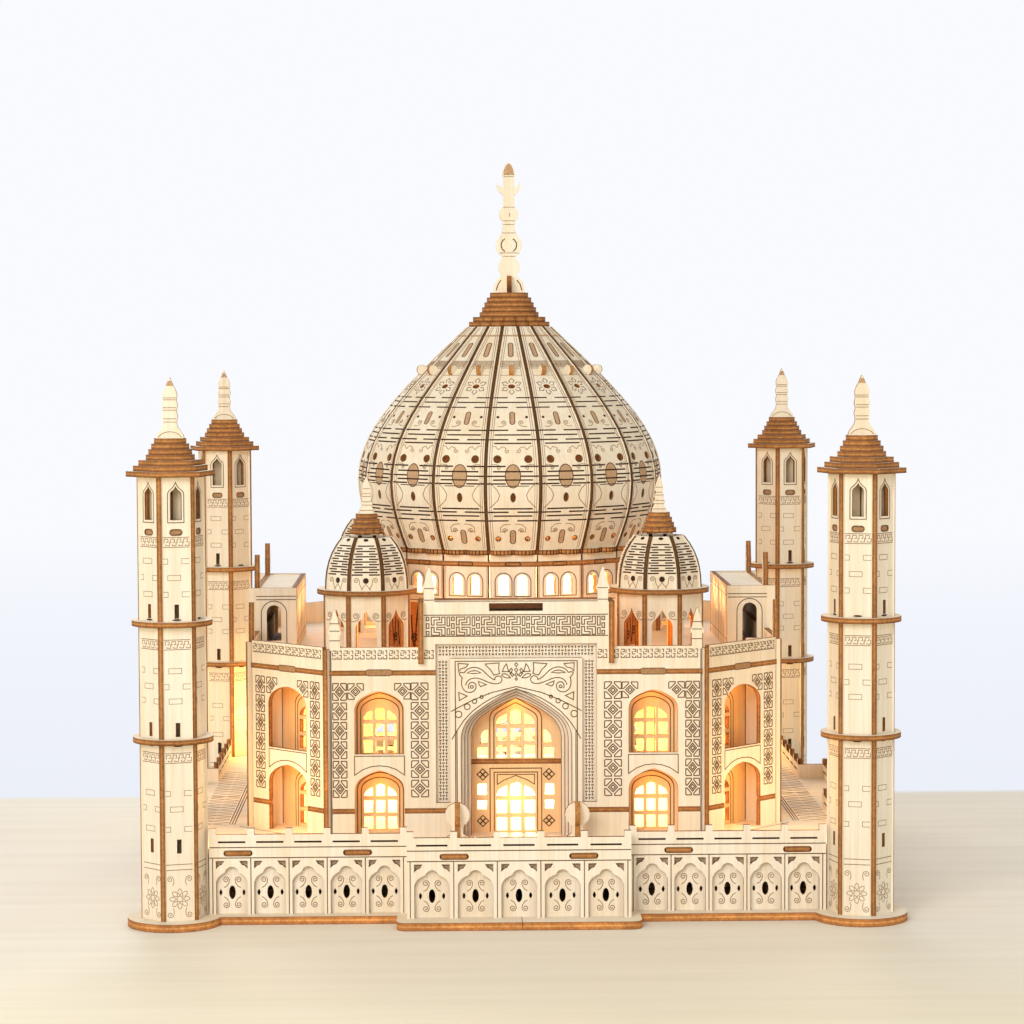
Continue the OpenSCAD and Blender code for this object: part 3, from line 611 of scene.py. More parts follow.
def arch_side(w, h, r, phi, n=6):
    """Right half of an arch, from its spring (w, 0) to its apex (0, h); the same curve as in the CAD."""
    phi = radians(phi)
    c1 = (w - r, 0.0)
    d = (cos(phi), sin(phi))
    p = (c1[0] + r * d[0], r * d[1])
    a = (-p[0], h - p[1])
    r2 = -(a[0] ** 2 + a[1] ** 2) / (2 * (a[0] * d[0] + a[1] * d[1]))
    c2 = (p[0] - r2 * d[0], p[1] - r2 * d[1])
    turn = atan2((h - c2[1]) / r2, -c2[0] / r2)
    first = [(c1[0] + r * cos(phi * i / n), r * sin(phi * i / n)) for i in range(n + 1)]
    second = [phi + (turn - phi) * i / n for i in range(1, n + 1)]
    return first + [(c2[0] + r2 * cos(t), c2[1] + r2 * sin(t)) for t in second]


def arch(w, sill, spring, apex, r, phi, n=6):
    """Arch outline of half width w, by the heights of its sill, spring and apex."""
    right = [(x, spring + y) for x, y in arch_side(w, apex - spring, r, phi, n)]
    left = [(-x, y) for x, y in reversed(right[:-1])]
    return [(w, sill)] + right + left + [(-w, sill)]


def mirrored(strokes):
    return strokes + [([(-x, y) for x, y in pts], closed) for pts, closed in strokes]


def moved(strokes, dx, dy, sx=1.0):
    return [([(dx + x * sx, dy + y) for x, y in pts], closed) for pts, closed in strokes]


def ring(cx, cy, r, n=14):
    return (oval(cx, cy, r, r, n), True)


def scroll(cx, cy, r, sx=1, sy=1, tail=()):
    """Spiral whose rim starts on its left side, mirrored by sx and sy, with an optional tail before it."""
    pts = list(tail) + spiral(cx, cy, r, 1.5, pi, -1, 16)
    return ([(sx * x, sy * y) for x, y in pts], False)


def tile(cx, cy, w, h, corners=CORNERS):
    """Square tile: up to four corner petals round two diamonds."""
    petal = [(0.18, 1), (0.92, 1), (1, 0.92), (1, 0.18), (0.8, 0.18), (0.18, 0.8)]
    w, h = w / 2, h / 2
    strokes = [([(cx + sx * x * w, cy + sy * y * h) for x, y in petal], True) for sx, sy in corners]
    for k in (0.56, 0.28):
        strokes.append((oval(cx, cy, k * w, k * h, 4), True))
    return strokes


def flower(cx, cy, r, petals, core=0.28):
    """Ring of pointed petals round a small circle."""
    out = [ring(cx, cy, r * core, 10)]
    for i in range(petals):
        a = 2 * pi * i / petals + pi / 2
        half = pi / petals * 0.86
        side = [(0.62, half), (0.86, half * 0.62)]
        pts = [(core * 1.25, 0.0)] + side + [(1.0, 0.0)] + [(k, -t) for k, t in reversed(side)]
        out.append(([(cx + r * k * cos(a + t), cy + r * k * sin(a + t)) for k, t in pts], True))
    return out


HOOK = ((0, 0), (3.2, 0), (3.2, -1), (1.05, -1.15), (1.05, -3), (0, -3))
ANGLE = ((4, 0), (5.2, 0), (5.2, -3), (2.1, -3), (2.1, -2.1), (4, -2.1))
STEPS = ((-1.3, 0), (-4.3, -2.5), (-6.8, -5.4))
KEYS = ((6, -3.4, 7, 0), (6, -6.8, 7, -4.4), *((7.7, y0, 8.7, y1) for y0, y1 in STEPS))
FRET_H, FRET_MIRROR, FRET_PITCH = 7.3, -6.9, 9.53


def fret(height):
    """One unit of the key frieze from its top left corner, and the unit's pitch."""
    k = height / FRET_H
    strokes = []
    for pts in (HOOK, ANGLE):
        strokes.append(([(x * k, y * k) for x, y in pts], True))
        strokes.append(([(x * k, (FRET_MIRROR - y) * k) for x, y in pts], True))
    strokes += [(box(*(v * k for v in key)), True) for key in KEYS]
    return strokes, FRET_PITCH * k


def frieze(sheet, place, x0, x1, top, height, width, mat):
    strokes, pitch = fret(height)
    count = max(1, int((x1 - x0) / pitch))
    step = (x1 - x0) / count
    for i in range(count):
        sheet.lines(place, moved(strokes, x0 + i * step, top, step / pitch), width, mat)


SMALL_FRET = (
    ((0.2, -0.2), (1.5, -0.2), (1.5, -1.1), (0.8, -1.1)), ((0.2, -0.9), (0.2, -2.0), (1.3, -2.0)),
    ((2.1, -0.2), (2.1, -1.6)), ((2.8, -0.2), (3.5, -0.2), (3.5, -1.3)),
    ((0.2, -2.7), (0.2, -3.3), (1.5, -3.3), (1.5, -2.7)),
    ((2.8, -1.9), (3.5, -1.9), (3.5, -3.3), (2.1, -3.3), (2.1, -2.4)),
)
SMALL_PITCH = 4.1


def small_frieze(sheet, place, x0, x1, top=99.2):
    """Key frieze of single strokes, 3.5 high, for the parapets."""
    count = round((x1 - x0) / SMALL_PITCH)
    step = (x1 - x0) / count
    for i in range(count):
        for points in SMALL_FRET:
            sheet.line(place, [(x0 + i * step + x, top + y) for x, y in points], 0.24)


def lattice(sheet, place, x0, x1, y0, y1, cell=1.25):
    """Fine lattice of small bricks and crosses in a rectangle."""
    nx, ny = max(1, round((x1 - x0) / cell)), max(1, round((y1 - y0) / cell))
    dx, dy = (x1 - x0) / nx, (y1 - y0) / ny
    for i in range(nx):
        for j in range(ny):
            cx, cy = x0 + (i + 0.5) * dx, y0 + (j + 0.5) * dy
            lying = (i + j) % 2 == 0
            w, h = (0.5, 0.23) if lying else (0.23, 0.5)
            sheet.fill(place, box(cx - w, cy - h, cx + w, cy + h), INK)
            if lying:
                sheet.fill(place, box(cx - 0.15, cy - 0.55, cx + 0.15, cy - 0.3), INK)


# --- plinth
WALL_END = 115.3
PORCH_W = 41.6
PLINTH_D = 127.2
PORCH_D = 137.7
SLOT_Z, SLOT_H = 30.2, 0.7
BAYS = 5
PIER = 1.3    # half width of the piers between the bays


def plinth_lines(sheet, az):
    wing = WALL_END - PORCH_W
    walls = ((-WALL_END, wing, PLINTH_D), (PORCH_W, wing, PLINTH_D), (-PORCH_W, 2 * PORCH_W, PORCH_D))
    for x0, length, far in walls:
        front, back = upright(az, far), upright(az, far - PLY)
        pitch = (length - 2 * PIER) / BAYS
        slot_half = (11.8 if length < 80 else 13.2) / 2 - 0.8
        for z in (28.2, 24.3):
            sheet.line(front, [(x0 + 0.1, z), (x0 + length - 0.1, z)], 0.28)
        for i in range(BAYS + 1):
            x = x0 + PIER + i * pitch
            sheet.line(front, [(x, 24.2), (x, 3.1)], 0.26)
            sides = {0: (1,), BAYS: (-1,)}.get(i, BOTH)
            for k in range(5):
                z = 20.6 + 0.6 * k
                for s in sides:
                    sheet.line(back, [(x + s * PIER, z), (x + s * 4.4, z)], 0.3, mat=FIELD)
        for i in range(BAYS):
            x = x0 + PIER + (i + 0.5) * pitch
            # painted shade: a dark fill sits inside each slot, where the bright deck behind would show
            # through
            slot = box(x - slot_half, SLOT_Z - SLOT_H / 2, x + slot_half, SLOT_Z + SLOT_H / 2)
            sheet.fill(front, slot, KERF_AND_SHADE, -0.6, -1.4)
            for sx, sy in CORNERS:
                curl = scroll(2.3, 4.7, 1.25, sx, sy, [(3.1, 1.7), (2, 2.4), (1.25, 3.6)])
                sheet.lines(shifted(back, x, 11), [curl], 0.24, FINE_INK)


# --- hall
TILE_TOP, TILE_H, TILE_PITCH, TILE_ROWS = 86.6, 6.4, 7.44, 6


def tile_column(sheet, place, x, width):
    for j in range(TILE_ROWS):
        sheet.lines(place, tile(x, TILE_TOP - TILE_H / 2 - j * TILE_PITCH, width, TILE_H), 0.32)


def bay_lines(sheet, outer, inner, half_w):
    """Drawings that belong to one bay of arches, centred on x = 0."""
    side = [(half_w, 58.7), (half_w, 51.4), (half_w * 0.66, 53.6), (half_w * 0.33, 54.7)]
    sheet.line(outer, side + [(0, 55)] + [(-x, z) for x, z in reversed(side)], 0.26, True)
    for s in BOTH:
        sheet.lines(outer, tile(s * 8.9, 83.5, 6, 6, ((s, 1), (-s, 1), (s, -1))), 0.3)
    for w, spring, apex, sill in ((8.8, 74.7, 81.5, FLOOR_TOP), (7.4, 74.1, 79.4, FLOOR_TOP),
                                  (8.8, 44.1, 50.8, DECK_Z), (7.4, 43.6, 48.8, DECK_Z)):
        sheet.line(inner, arch(w, sill + 0.2, spring, apex, w * 0.55, 52), 0.3)
    sheet.line(outer, pill(0, 90.6, 10.1, 2.3), 0.24, True)
    sheet.fill(outer, pill(0, 90.6, 10, 2.2), TAB, 0.02, -1.9)


def wing_lines(sheet, az):
    outer, inner = upright(az, HALL), upright(az, HALL - BAY_DEPTH)
    for s in BOTH:
        bay_lines(sheet, shifted(outer, s * BAY_X, 0), shifted(inner, s * BAY_X, 0), 9.5)
        for x0, x1 in ((33.6, 40), (64.6, 69.8)):
            tile_column(sheet, outer, s * (x0 + x1) / 2, x1 - x0)
        for ends in ((35.4, 69.9), (31, 35)):
            small_frieze(sheet, outer, *sorted(s * x for x in ends))
        sheet.bars(shifted(outer, s * 68.9, 0), ((102.9, 2.1), (106.6, 1.9), (109.4, 1.9)), 0.24)


def chamfer_lines(sheet, az):
    outer, inner = upright(az, CHAMFER_D), upright(az, CHAMFER_D - BAY_DEPTH)
    bay_lines(sheet, outer, inner, 10.8)
    for s in BOTH:
        tile_column(sheet, outer, s * 15.7, 5)
    small_frieze(sheet, outer, -19.6, 19.6)


PORTAL_ARCHES = (21, 19.7, 18.5, 17.2)
# Left half of the portal's spandrel: closed leaves, then vines and the two bands over the arch, then rings
LEAVES = [
    [(-22.1, 94), (-18.2, 93.7), (-19.2, 92.4), (-21.1, 91.9), (-21.9, 90.8)],
    [(-11.7, 93.7), (-6.5, 94.1), (-6.7, 91.9), (-6.35, 90), (-8.5, 89.4), (-9.7, 91.4), (-11.5, 93.2)],
    [(-3.7, 93.7), (-2.9, 90.7), (-5.3, 90.8), (-4.5, 92.7)],
    [(-14.4, 87.1), (-11.3, 85.8), (-13.6, 85.1), (-14.2, 86)],
    [(-21.9, 82.9), (-18.7, 81.5), (-21.7, 79.8)],
    [(-18.7, 90.3), (-17.3, 91), (-16, 91.2), (-14.6, 91), (-13.5, 90.3), (-16, 90.1)],
    [(-2.1, 90.2), (-1.4, 91.4), (-1.9, 92), (-2.7, 91)],
    [(-1.5, 88.9), (-2.4, 90), (-1.7, 90.3), (-0.9, 89.4)],
]
STEMS = [
    curve((-19.9, 90.3), (-18.2, 93), (-14.5, 93.2), (-12, 90.6), (-10.4, 88.9), (-9.6, 88.2), (-8.1, 87.6)),
    curve((-20.6, 88.4), (-21.5, 85), (-19.8, 82.6), (-17.4, 82.9), (-15, 83.2), (-14.6, 86.3),
          (-16.4, 86.7), (-18.2, 87), (-18.6, 85), (-17.9, 84.3)),
    curve((-19.3, 85.6), (-18.6, 88.6), (-15.4, 89), (-12.6, 87.6), (-10, 86.4), (-8, 85.7), (-6.3, 86.4),
          (-4.9, 87.2), (-5.3, 89), (-6.7, 89.1), (-8, 89.1), (-8.4, 88), (-8.1, 87.6)),
    curve((-20.3, 88.3), (-21.4, 89.3), (-22.4, 90.4), (-20.9, 90.6)) + [(-19.9, 90.3)],
    curve((-5.6, 89.6), (-4.6, 90.3), (-3.4, 90), (-2.2, 88.4), (-3.4, 88.2), (-4.8, 88.3), (-5.6, 89.6)),
    [(-24.9, 75.6), (-20.8, 77.8), (-16.8, 79.8), (-9.6, 82.7), (0, 85)],
    [(-24.6, 64.9), (-22.8, 68), (-20.2, 71.9), (-16.8, 75.6), (-13.2, 78.3), (-9.6, 80.5), (-4.5, 82.7),
     (0, 84.1)],
    [(-22.65, 68), (-22.65, 27.2)],
]
RINGS = [ring(-16.9, 85, 0.55, 8), ring(-22, 74.5, 1.25), ring(-18.7, 77.4, 1.1), ring(-15.9, 79.5, 0.85),
         ring(-13.2, 81.1, 0.6, 10)]
SPANDREL = [(leaf, True) for leaf in LEAVES] + [(stem, False) for stem in STEMS] + RINGS


def portal_lines(sheet, az):
    face, second, wall = upright(az, HALL), upright(az, HALL - PLY), upright(az, IWAN_D)
    sheet.bars(face, ((112.45, 35), (104.35, 35)), 0.28)
    strokes, pitch = fret(FRET_H)
    for i in range(7):
        sheet.lines(face, moved(strokes, -32.2 + i * pitch, 111.7), 0.3)
    for y0, y1 in STEPS:
        sheet.line(face, box(-34.1, 111.7 + y0, -33.1, 111.7 + y1), 0.3, True)
    for s in BOTH:
        sheet.bars(shifted(face, s * 33, 0), ((118.2, 1.9), (122.6, 1.9)), 0.24)
        lattice(sheet, second, *sorted((s * 26.1, s * 29.6)), 41.2, 95)
    lattice(sheet, second, -29.6, 29.6, 96.6, 100.6)
    sheet.line(face, [(-23.2, 27.2), (-23.2, 94.8), (23.2, 94.8), (23.2, 27.2)], 0.28)
    sheet.lines(face, mirrored(SPANDREL), 0.28)
    for s in BOTH:
        sheet.fill(face, oval(s * -10.6, 82.3, 0.32, 0.32, 8), KERF_AND_SHADE)
    for z, r in ((93.4, 0.75), (91.4, 0.8), (89.6, 0.7), (87.9, 0.55)):
        sheet.line(face, oval(0, z, r * 0.8, r, 4), 0.26, True)
    for k, w in enumerate(PORTAL_ARCHES):
        apex = 84.2 - (PORTAL_ARCHES[0] - w) * 1.15
        outline = arch(w + 0.12, DECK_Z + 0.1, 64.5, apex + 0.12, w * 0.62, 52, 8)
        sheet.line(upright(az, HALL - k * PLY), outline, 0.16)
    # Back wall of the niche
    for w, spring, apex in ((9.95, 71.1, 79.1), (8.4, 70.6, 77.3)):
        sheet.line(wall, arch(w, FLOOR_TOP + 0.1, spring, apex, w * 0.42, 58), 0.32)
    for w, top in ((9.95, 51.8), (8.35, 50.3)):
        sheet.line(wall, [(-w, DECK_Z + 0.2), (-w, top), (w, top), (w, DECK_Z + 0.2)], 0.32)
    sheet.line(wall, [(-7.2, 45.5), (-7.2, 49.4), (7.2, 49.4), (7.2, 45.5)], 0.28)
    sheet.line(wall, [(-7.2, 45.5), (-4.6, 47.2), (0, 49), (4.6, 47.2), (7.2, 45.5)], 0.28)
    for s in BOTH:
        for z in (49.45, 31.4):
            x = s * 12.75
            for dx, dy in ((1.15, 0), (-1.15, 0), (0, 1.15), (0, -1.15)):
                sheet.line(wall, oval(x + dx, z + dy, 1, 1, 4), 0.26, True)
            sheet.line(wall, oval(x, z, 2.25, 2.25, 4), 0.26, True)


CHEEK_X = 35.2 + PLY    # outer face of the side plates of the box on a portal


def side_plate(az, s):
    """Outer face of a portal box's side plate: x is the distance from the axis, y the height."""
    right, out = heading(az)
    return lambda x, y, h: right * (s * (CHEEK_X + h)) + out * x + Vector((0, 0, y))


def hat_lines(sheet, az):
    for s in BOTH:
        place = side_plate(az, s)
        sheet.bars(shifted(place, 95, 0), ((114.1, 8), (112.75, 8)), 0.26)
        door = [(101, ROOF_Z + 0.2)] + arc(95.9, 107.1, 5.1, 0, 180, 15) + [(90.8, ROOF_Z + 0.2)]
        sheet.line(place, door, 0.26)
    rear = upright(az + 180, -HAT_BACK + PLY)
    for i in range(1, 6):
        x = -35.2 + i * 70.4 / 6
        sheet.fine(rear, [(x, ROOF_Z + 0.3), (x, PORTAL_Z - 0.3)])
    sheet.bars(rear, ((95.5, 34.9), (113.2, 34.9)), mat=FINE_INK)


for side in SIDES:
    draw(f"plinth_lines_{side}", plinth_lines, side)
    draw(f"hall_lines_{side}", wing_lines, side)
    draw(f"chamfer_lines_{side + 45}", chamfer_lines, side + 45)
    draw(f"portal_lines_{side}", portal_lines, side)
    draw(f"portal_box_lines_{side}", hat_lines, side)


# --- towers
PANEL_HALF = (SHAFT_A / 2 - PLY / 2 - 0.02) / cos(radians(30))
BRICK_ROWS = (136.1, 130, 123.9, 95.7, 89.9, 84.5, 50.4, 44.5, 37.1)
BRICK_HALF = 0.95


def tower_panel(sheet, place, i):
    half = PANEL_HALF - 0.1
    for top in (144.9, 107.2, 65.3):
        sheet.bars(place, ((top, half), (top - 3.6, half)), 0.22, FINE_INK)
        for k in range(4):
            spot = shifted(place, -half + 0.35 + 2.4 * k, top - 0.6)
            sheet.fine(spot, [(0.1, -1.5), (0.1, 0), (1.5, 0), (1.5, -1.1), (0.8, -1.1)])
            sheet.fine(spot, [(0.7, -1.9), (0.7, -2.4), (2.1, -2.4), (2.1, -0.9)])
    for j, z in enumerate(BRICK_ROWS):
        low, high = z - BRICK_HALF, z + BRICK_HALF
        if j % 2 == i % 2:
            sheet.fine(place, box(-3.2, low, 1.6, high), 0.15, True)
        else:
            for s, run in ((-1, 1.7), (1, 2.8)):
                end, tip = s * half, s * (half - run)
                sheet.fine(place, [(end, low), (tip, low), (tip, high), (end, high)], 0.15)
    sheet.line(place, arch(3, 150.3, 160.5, 165.1, 2.2, 55, 4), 0.24, True)
    sheet.line(place, pill(0, 146.7, 4.6, 2.2), 0.24, True)
    sheet.fill(place, pill(0, 146.7, 3.9, 1.5), TAB, -0.25, -1.2)
    for z in (114.5, 68):
        sheet.fill(place, oval(0, z, 1.75, 0.36, 10), KERF_AND_SHADE)
    sheet.bars(place, ((24, half), (22, half)), 0.22, FINE_INK)
    sheet.lines(place, flower(0, 11.2, 3.8, 8), 0.16, FINE_INK)
    for sx in BOTH:
        for z, sy in ((18.6, 1), (5.4, -1)):
            strokes = [scroll(-1.3, 0, 1.25, sx, sy, [(-2.3, -2.4), (-2.7, -1.2)])]
            sheet.lines(place, moved(strokes, sx * half, z), 0.18, FINE_INK)


def tower_lines(sheet, tx, ty):
    for i in range(6):
        turn = degrees(atan2(ty, tx)) + 60 * i + 90
        tower_panel(sheet, about(tx * TOWER_OFF, ty * TOWER_OFF, upright(turn, SHAFT_A)), i)


for tag, (tx, ty) in TOWERS.items():
    draw(f"tower_{tag}_lines", tower_lines, tx, ty)


# --- flat finials
TOWER_BARS = ((186.9, 2.4), (188.1, 2.4), (191.3, 2.4), (192.2, 2.4), (195.1, 2.3), (195.8, 2.3))
KIOSK_BARS = ((149.8, 2.7), (151.9, 2), (153.2, 2.1), (155.3, 1.7), (156.4, 1.3), (158.4, 1.4))
MAIN_BARS = ((15, 2.7), (16.4, 3.9), (24.6, 2.7), (28.1, 2.3), (29.6, 2.5), (35.2, 2.4), (47.7, 2.1),
             (48.5, 2.4))
MAIN_FOOT = 236.2


def finial_lines(sheet):
    for flip in (0, 180):
        flat = upright(flip, PLY / 2)
        for sx, sy in CORNERS:
            place = about(sx * TOWER_OFF, sy * TOWER_OFF, flat)
            sheet.bars(place, TOWER_BARS, mat=FINE_INK)
            sheet.fine(place, bezier((-4.3, 181.3), (-2.5, 184), (2.5, 184), (4.3, 181.3)))
            sheet.fill(place, [(-1.35, 200.2), (1.35, 200.2), (0.6, 202.1), (-0.6, 202.1)], FIELD)
            sheet.bars(about(sx * KIOSK_OFF, sy * KIOSK_OFF, flat), KIOSK_BARS, mat=FINE_INK)
        place = shifted(flat, 0, MAIN_FOOT)
        for s in BOTH:
            sheet.line(place, arc(0, 19.6, s * 3.2, -60, 60, 15, 3), 0.34)
            sheet.line(place, [(s * 5.3, 1), (s * 4.6, 3.4), (s * 3.3, 5.2)], 0.34)
        sheet.bars(place, MAIN_BARS, mat=FINE_INK)
        sheet.fine(place, [(0.1, 31.3), (0.5, 32.2), (0, 32.8)], 0.24)
        half = [(2.15, 48.7), (1.95, 50.4), (1.15, 52.3), (0.15, 53.1)]
        sheet.fill(place, half + [(-x, y) for x, y in reversed(half)], FIELD)


draw("finial_lines", finial_lines)


# --- domes
class Strip:
    """One bent strip: (u, s) is the place across it and along it, h stands off its outer face."""

    def __init__(self, profile, half_angle, rib_t, az, cx=0, cy=0):
        flat = [(r * cos(half_angle) - 0.3, z) for r, z in profile]
        self.half = [r * tan(half_angle) - (rib_t / 2 + 0.05) / cos(half_angle) for r, z in profile]
        self.s = [0]
        for p, q in zip(flat, flat[1:]):
            self.s.append(self.s[-1] + dist(p, q))
        self.rows = []
        for i, (r, z) in enumerate(flat):
            d = unit(flat[max(i - 1, 0)], flat[min(i + 1, len(flat) - 1)]) if i else (0, 1)
            self.rows.append((r, z, d[1], -d[0], self.half[i]))
        self.right, self.out = heading(az)
        self.axis = Vector((cx, cy, 0))

    def at(self, s):
        """Radius, height, outward direction and half width at a place along the strip."""
        s = min(max(s, 0), self.s[-1])
        i = min(max(int(np.searchsorted(self.s, s)) - 1, 0), len(self.s) - 2)
        t = (s - self.s[i]) / (self.s[i + 1] - self.s[i])
        return [a * (1 - t) + b * t for a, b in zip(self.rows[i], self.rows[i + 1])]

    def __call__(self, u, s, h):
        r, z, nr, nz, _ = self.at(s)
        return self.axis + self.right * u + self.out * (r + nr * h) + Vector((0, 0, z + nz * h))

    def width(self, s):
        return self.at(s)[4]

    def s_at(self, z):
        return float(np.interp(z, [row[1] for row in self.rows], self.s))


DRUM_TOP = 133.5
LOWER = ((55.5, DRUM_TOP), (59, 141), (63, 150), (63, 159))
UPPER = ((63, 159), (63, 178), (49.5, 192.5), (17.7, 222.2))
DOME_PROFILE = bezier(*LOWER, n=15) + bezier(*UPPER, n=40)[1:]
STRIP_T = 1.6
# Openings of one strip: (place across, place along, half width, half length)
DOME_HOLES = [(-5.8, 5, 0.9, 0.9), (5.8, 5, 0.9, 0.9), (0, 22.4, 0.85, 1.65),
              (-6.1, 37.7, 1.3, 1.3), (6.1, 37.7, 1.3, 1.3), (0, 72, 1.45, 1.15)]
# Side view of the plate end that sticks out of each strip: (place along, height)
STUD = [(77.9, -0.5), (77.9, 1.4), (78.5, 2.6), (79.9, 3.2), (81.2, 2.6), (81.8, 1.4), (81.8, -0.5)]


class Shell:
    """Vertices and faces of the dome's strips; kind 0 is a face of the sheet, 1 a burnt edge."""

    def __init__(self):
        self.verts, self.polys, self.kinds = [], [], []

    def face(self, corners, kind):
        self.polys.append(corners)
        self.kinds.append(kind)

    def stud(self, strip):
        base, n = len(self.verts), len(STUD)
        self.verts += [strip(u, s, h) for u in (-PLY / 2, PLY / 2) for s, h in STUD]
        self.face([base + i for i in range(n)], 0)
        self.face([base + 2 * n - 1 - i for i in range(n)], 0)
        for i in range(n):
            j = (i + 1) % n
            self.face([base + j, base + i, base + n + i, base + n + j], 1)

    def strip(self, strip):
        """Adds one pierced strip as a closed shell."""
        outline = list(zip(strip.half, strip.s))
        outline += [(-x, s) for x, s in reversed(outline)]
        pts, count = [Vector(p) for p in outline], len(outline)
        edges = [(i, (i + 1) % count) for i in range(count)]
        edges += [(i, count - 1 - i) for i in range(1, len(strip.s) - 1)]
        for hole in DOME_HOLES:
            loop = oval(*hole)
            edges += [(len(pts) + k, len(pts) + (k + 1) % len(loop)) for k in range(len(loop))]
            pts += [Vector(p) for p in loop]
        flat, _, tris, *_ = delaunay_2d_cdt(pts, edges, [list(range(count))], 1, 1e-5)
        base, n = len(self.verts), len(flat)
        self.verts += [strip(p[0], p[1], h) for h in (0, -STRIP_T) for p in flat]
        used = set()
        for tri in tris:
            cx, cy = (sum(flat[v][k] for v in tri) / len(tri) for k in (0, 1))
            if all(((cx - u) / a) ** 2 + ((cy - s) / b) ** 2 > 0.97 for u, s, a, b in DOME_HOLES):
                self.face([base + v for v in tri], 0)
                self.face([base + n + v for v in reversed(tri)], 0)
                used |= set(zip(tri, tri[1:] + tri[:1]))
        for a, b in sorted(used):
            if (b, a) not in used:
                self.face([base + b, base + a, base + n + a, base + n + b], 1)


SHORT_SLIT = 0.775    # share of the strip's width


def kerf_rows(sheet, strip, rows, width, first_split, hub=1.7):
    """Slits across a strip: one split in the middle and one short of the sides, in turn."""
    for j, s in enumerate(rows):
        w = strip.width(s) - 0.15
        if (j % 2 == 0) == first_split:
            for ends in ((-w, -hub), (hub, w)):
                sheet.line(strip, [(x, s) for x in ends], width, mat=KERF_AND_SHADE)
        else:
            sheet.bars(strip, ((s, SHORT_SLIT * w),), width, KERF_AND_SHADE)


def dome_strip_lines(sheet, strip):
    along = np.linspace(0.4, strip.s[-1] - 0.4, 44)
    for s in BOTH:
        for inset, width in ((0.9, 0.2), (1.7, 0.16)):
            sheet.fine(strip, [(s * (strip.width(q) - inset), q) for q in along], width)
    sheet.bars(strip, ((100.7, strip.width(100.7) - 0.1),), 0.7, FIELD)
    for s0, s1, w in ((88.5, 96.4, 1.9), (52.8, 58.7, 1.9), (2.9, 8.7, 2.1)):
        sheet.line(strip, pill(0, (s0 + s1) / 2, w, s1 - s0), 0.3, True, step=1.4)
        levels = np.linspace(s0 + 0.4, s1 - 0.4, 7)
        for q0, q1 in zip(levels, levels[1:]):
            sheet.fill(strip, box(-w / 2 + 0.15, q0, w / 2 - 0.15, q1), FIELD)
    w = 4.2
    sheet.bars(strip, ((82.6, w), (86, w)), 0.2, FINE_INK)
    frieze(sheet, strip, -w, w, 85.6, 2.7, 0.14, FINE_INK)
    sheet.bars(strip, [(s, strip.width(s) - 1.8) for s in (81.9, 78)], 0.16, FINE_INK)
    for i in range(6):
        a = pi / 2 + i * pi / 3
        tip = [(2, -0.22), (3.2, -0.34), (4.3, 0), (3.2, 0.34), (2, 0.22)]
        sheet.line(strip, [(k * cos(a + t), 72 + k * sin(a + t)) for k, t in tip], 0.2, step=1.2)
    kerf_rows(sheet, strip, (66, 63.6, 61.1), 0.42, True)
    for s in BOTH:
        sheet.fill(strip, oval(s * 5.7, 56.3, 0.6, 0.6, 10), KERF_AND_SHADE)
    sheet.scrolls(strip, 3.5, 53.6, 1.05, [(5.9, 51.9), (4.2, 51.8), (2.7, 52.6)], step=1.2)
    kerf_rows(sheet, strip, (50.1, 48, 45.9, 44.3), 0.44, True)
    wave = [(8.1, 43.2), (6.8, 43), (5.6, 41.6), (4.3, 42.9), (2.6, 42.2)]
    wave += spiral(2.2, 41, 1, 1.3, pi / 3, -1, 12)
    sheet.pair(strip, wave, step=1.2)
    for s in BOTH:
        sheet.line(strip, oval(s * 6.1, 37.7, 1.45, 1.45, 14), 0.3, True)
        sheet.line(strip, oval(s * 5.8, 5, 1, 1, 12), 0.26, True)
    sheet.scrolls(strip, 5.6, 34, 0.8, [(8.6, 35.4), (7.2, 35.6), (5.4, 35.2)], step=1.2)
    # painted shade: dark red fills plug these holes, where the dim inside of the dome would show
    for hole in DOME_HOLES[2:]:
        sheet.fill(strip, oval(*hole), HOLE_SHADE, -0.5, -1.3)
    # Big oval, in slices that follow the bend
    mid, rx, ry = 30.9, 3, 4.6
    sheet.line(strip, oval(0, mid, rx, ry, 24), 0.3, True, step=1.3)
    levels = np.linspace(-ry, ry, 9)
    widths = [rx * sqrt(max(0, 1 - (y / ry) ** 2)) + 0.02 for y in levels]
    for y0, y1, w0, w1 in zip(levels, levels[1:], widths, widths[1:]):
        sheet.fill(strip, [(-w0, mid + y0), (w0, mid + y0), (w1, mid + y1), (-w1, mid + y1)], FIELD)
    kerf_rows(sheet, strip, (34.8, 32.7, 30.9, 29.4, 27.9), 0.44, True, hub=2.9)
    glass = [(9.3, 28.4), (8.4, 27.6), (6.4, 25.6), (5.3, 23.4), (5.9, 21.4), (8, 19.3), (9.1, 18.3)]
    sheet.pair(strip, glass, 0.24, 1.2)
    sheet.bars(strip, ((27, 6.3),), 0.24, KERF_AND_SHADE)
    sheet.line(strip, oval(0, 22.4, 0.95, 1.75, 12), 0.26, True)
    kerf_rows(sheet, strip, (17.9, 16.5, 14.9, 12.9), 0.44, False)
    tail = [(0.9, 11.3), (1.6, 11.5), (3.6, 11.2), (5, 9.9), (4.9, 8)]
    sheet.scrolls(strip, 3.3, 8.6, 1.1, tail, 0.22, 1.2)


shell = Shell()
tones = []
strip_lines = Sheet("dome_lines")
for i in range(GORES):
    strip = Strip(DOME_PROFILE, HALF_GORE, 1.4, 360 * i / GORES)
    shell.strip(strip)
    shell.stud(strip)
    tones += [rng.uniform(0, 1)] * (len(shell.verts) - len(tones))
    dome_strip_lines(strip_lines, strip)
strip_lines.make()
dome_strips = piece("dome_strips", shell.verts, shell.polys, FACE_UP, EDGE)
dome_strips.data.polygons.foreach_set("material_index", shell.kinds)
note(dome_strips.data, across=[0.5] * len(tones), tone=tones)
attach(dome_strips, "root")
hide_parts("dome_gores")


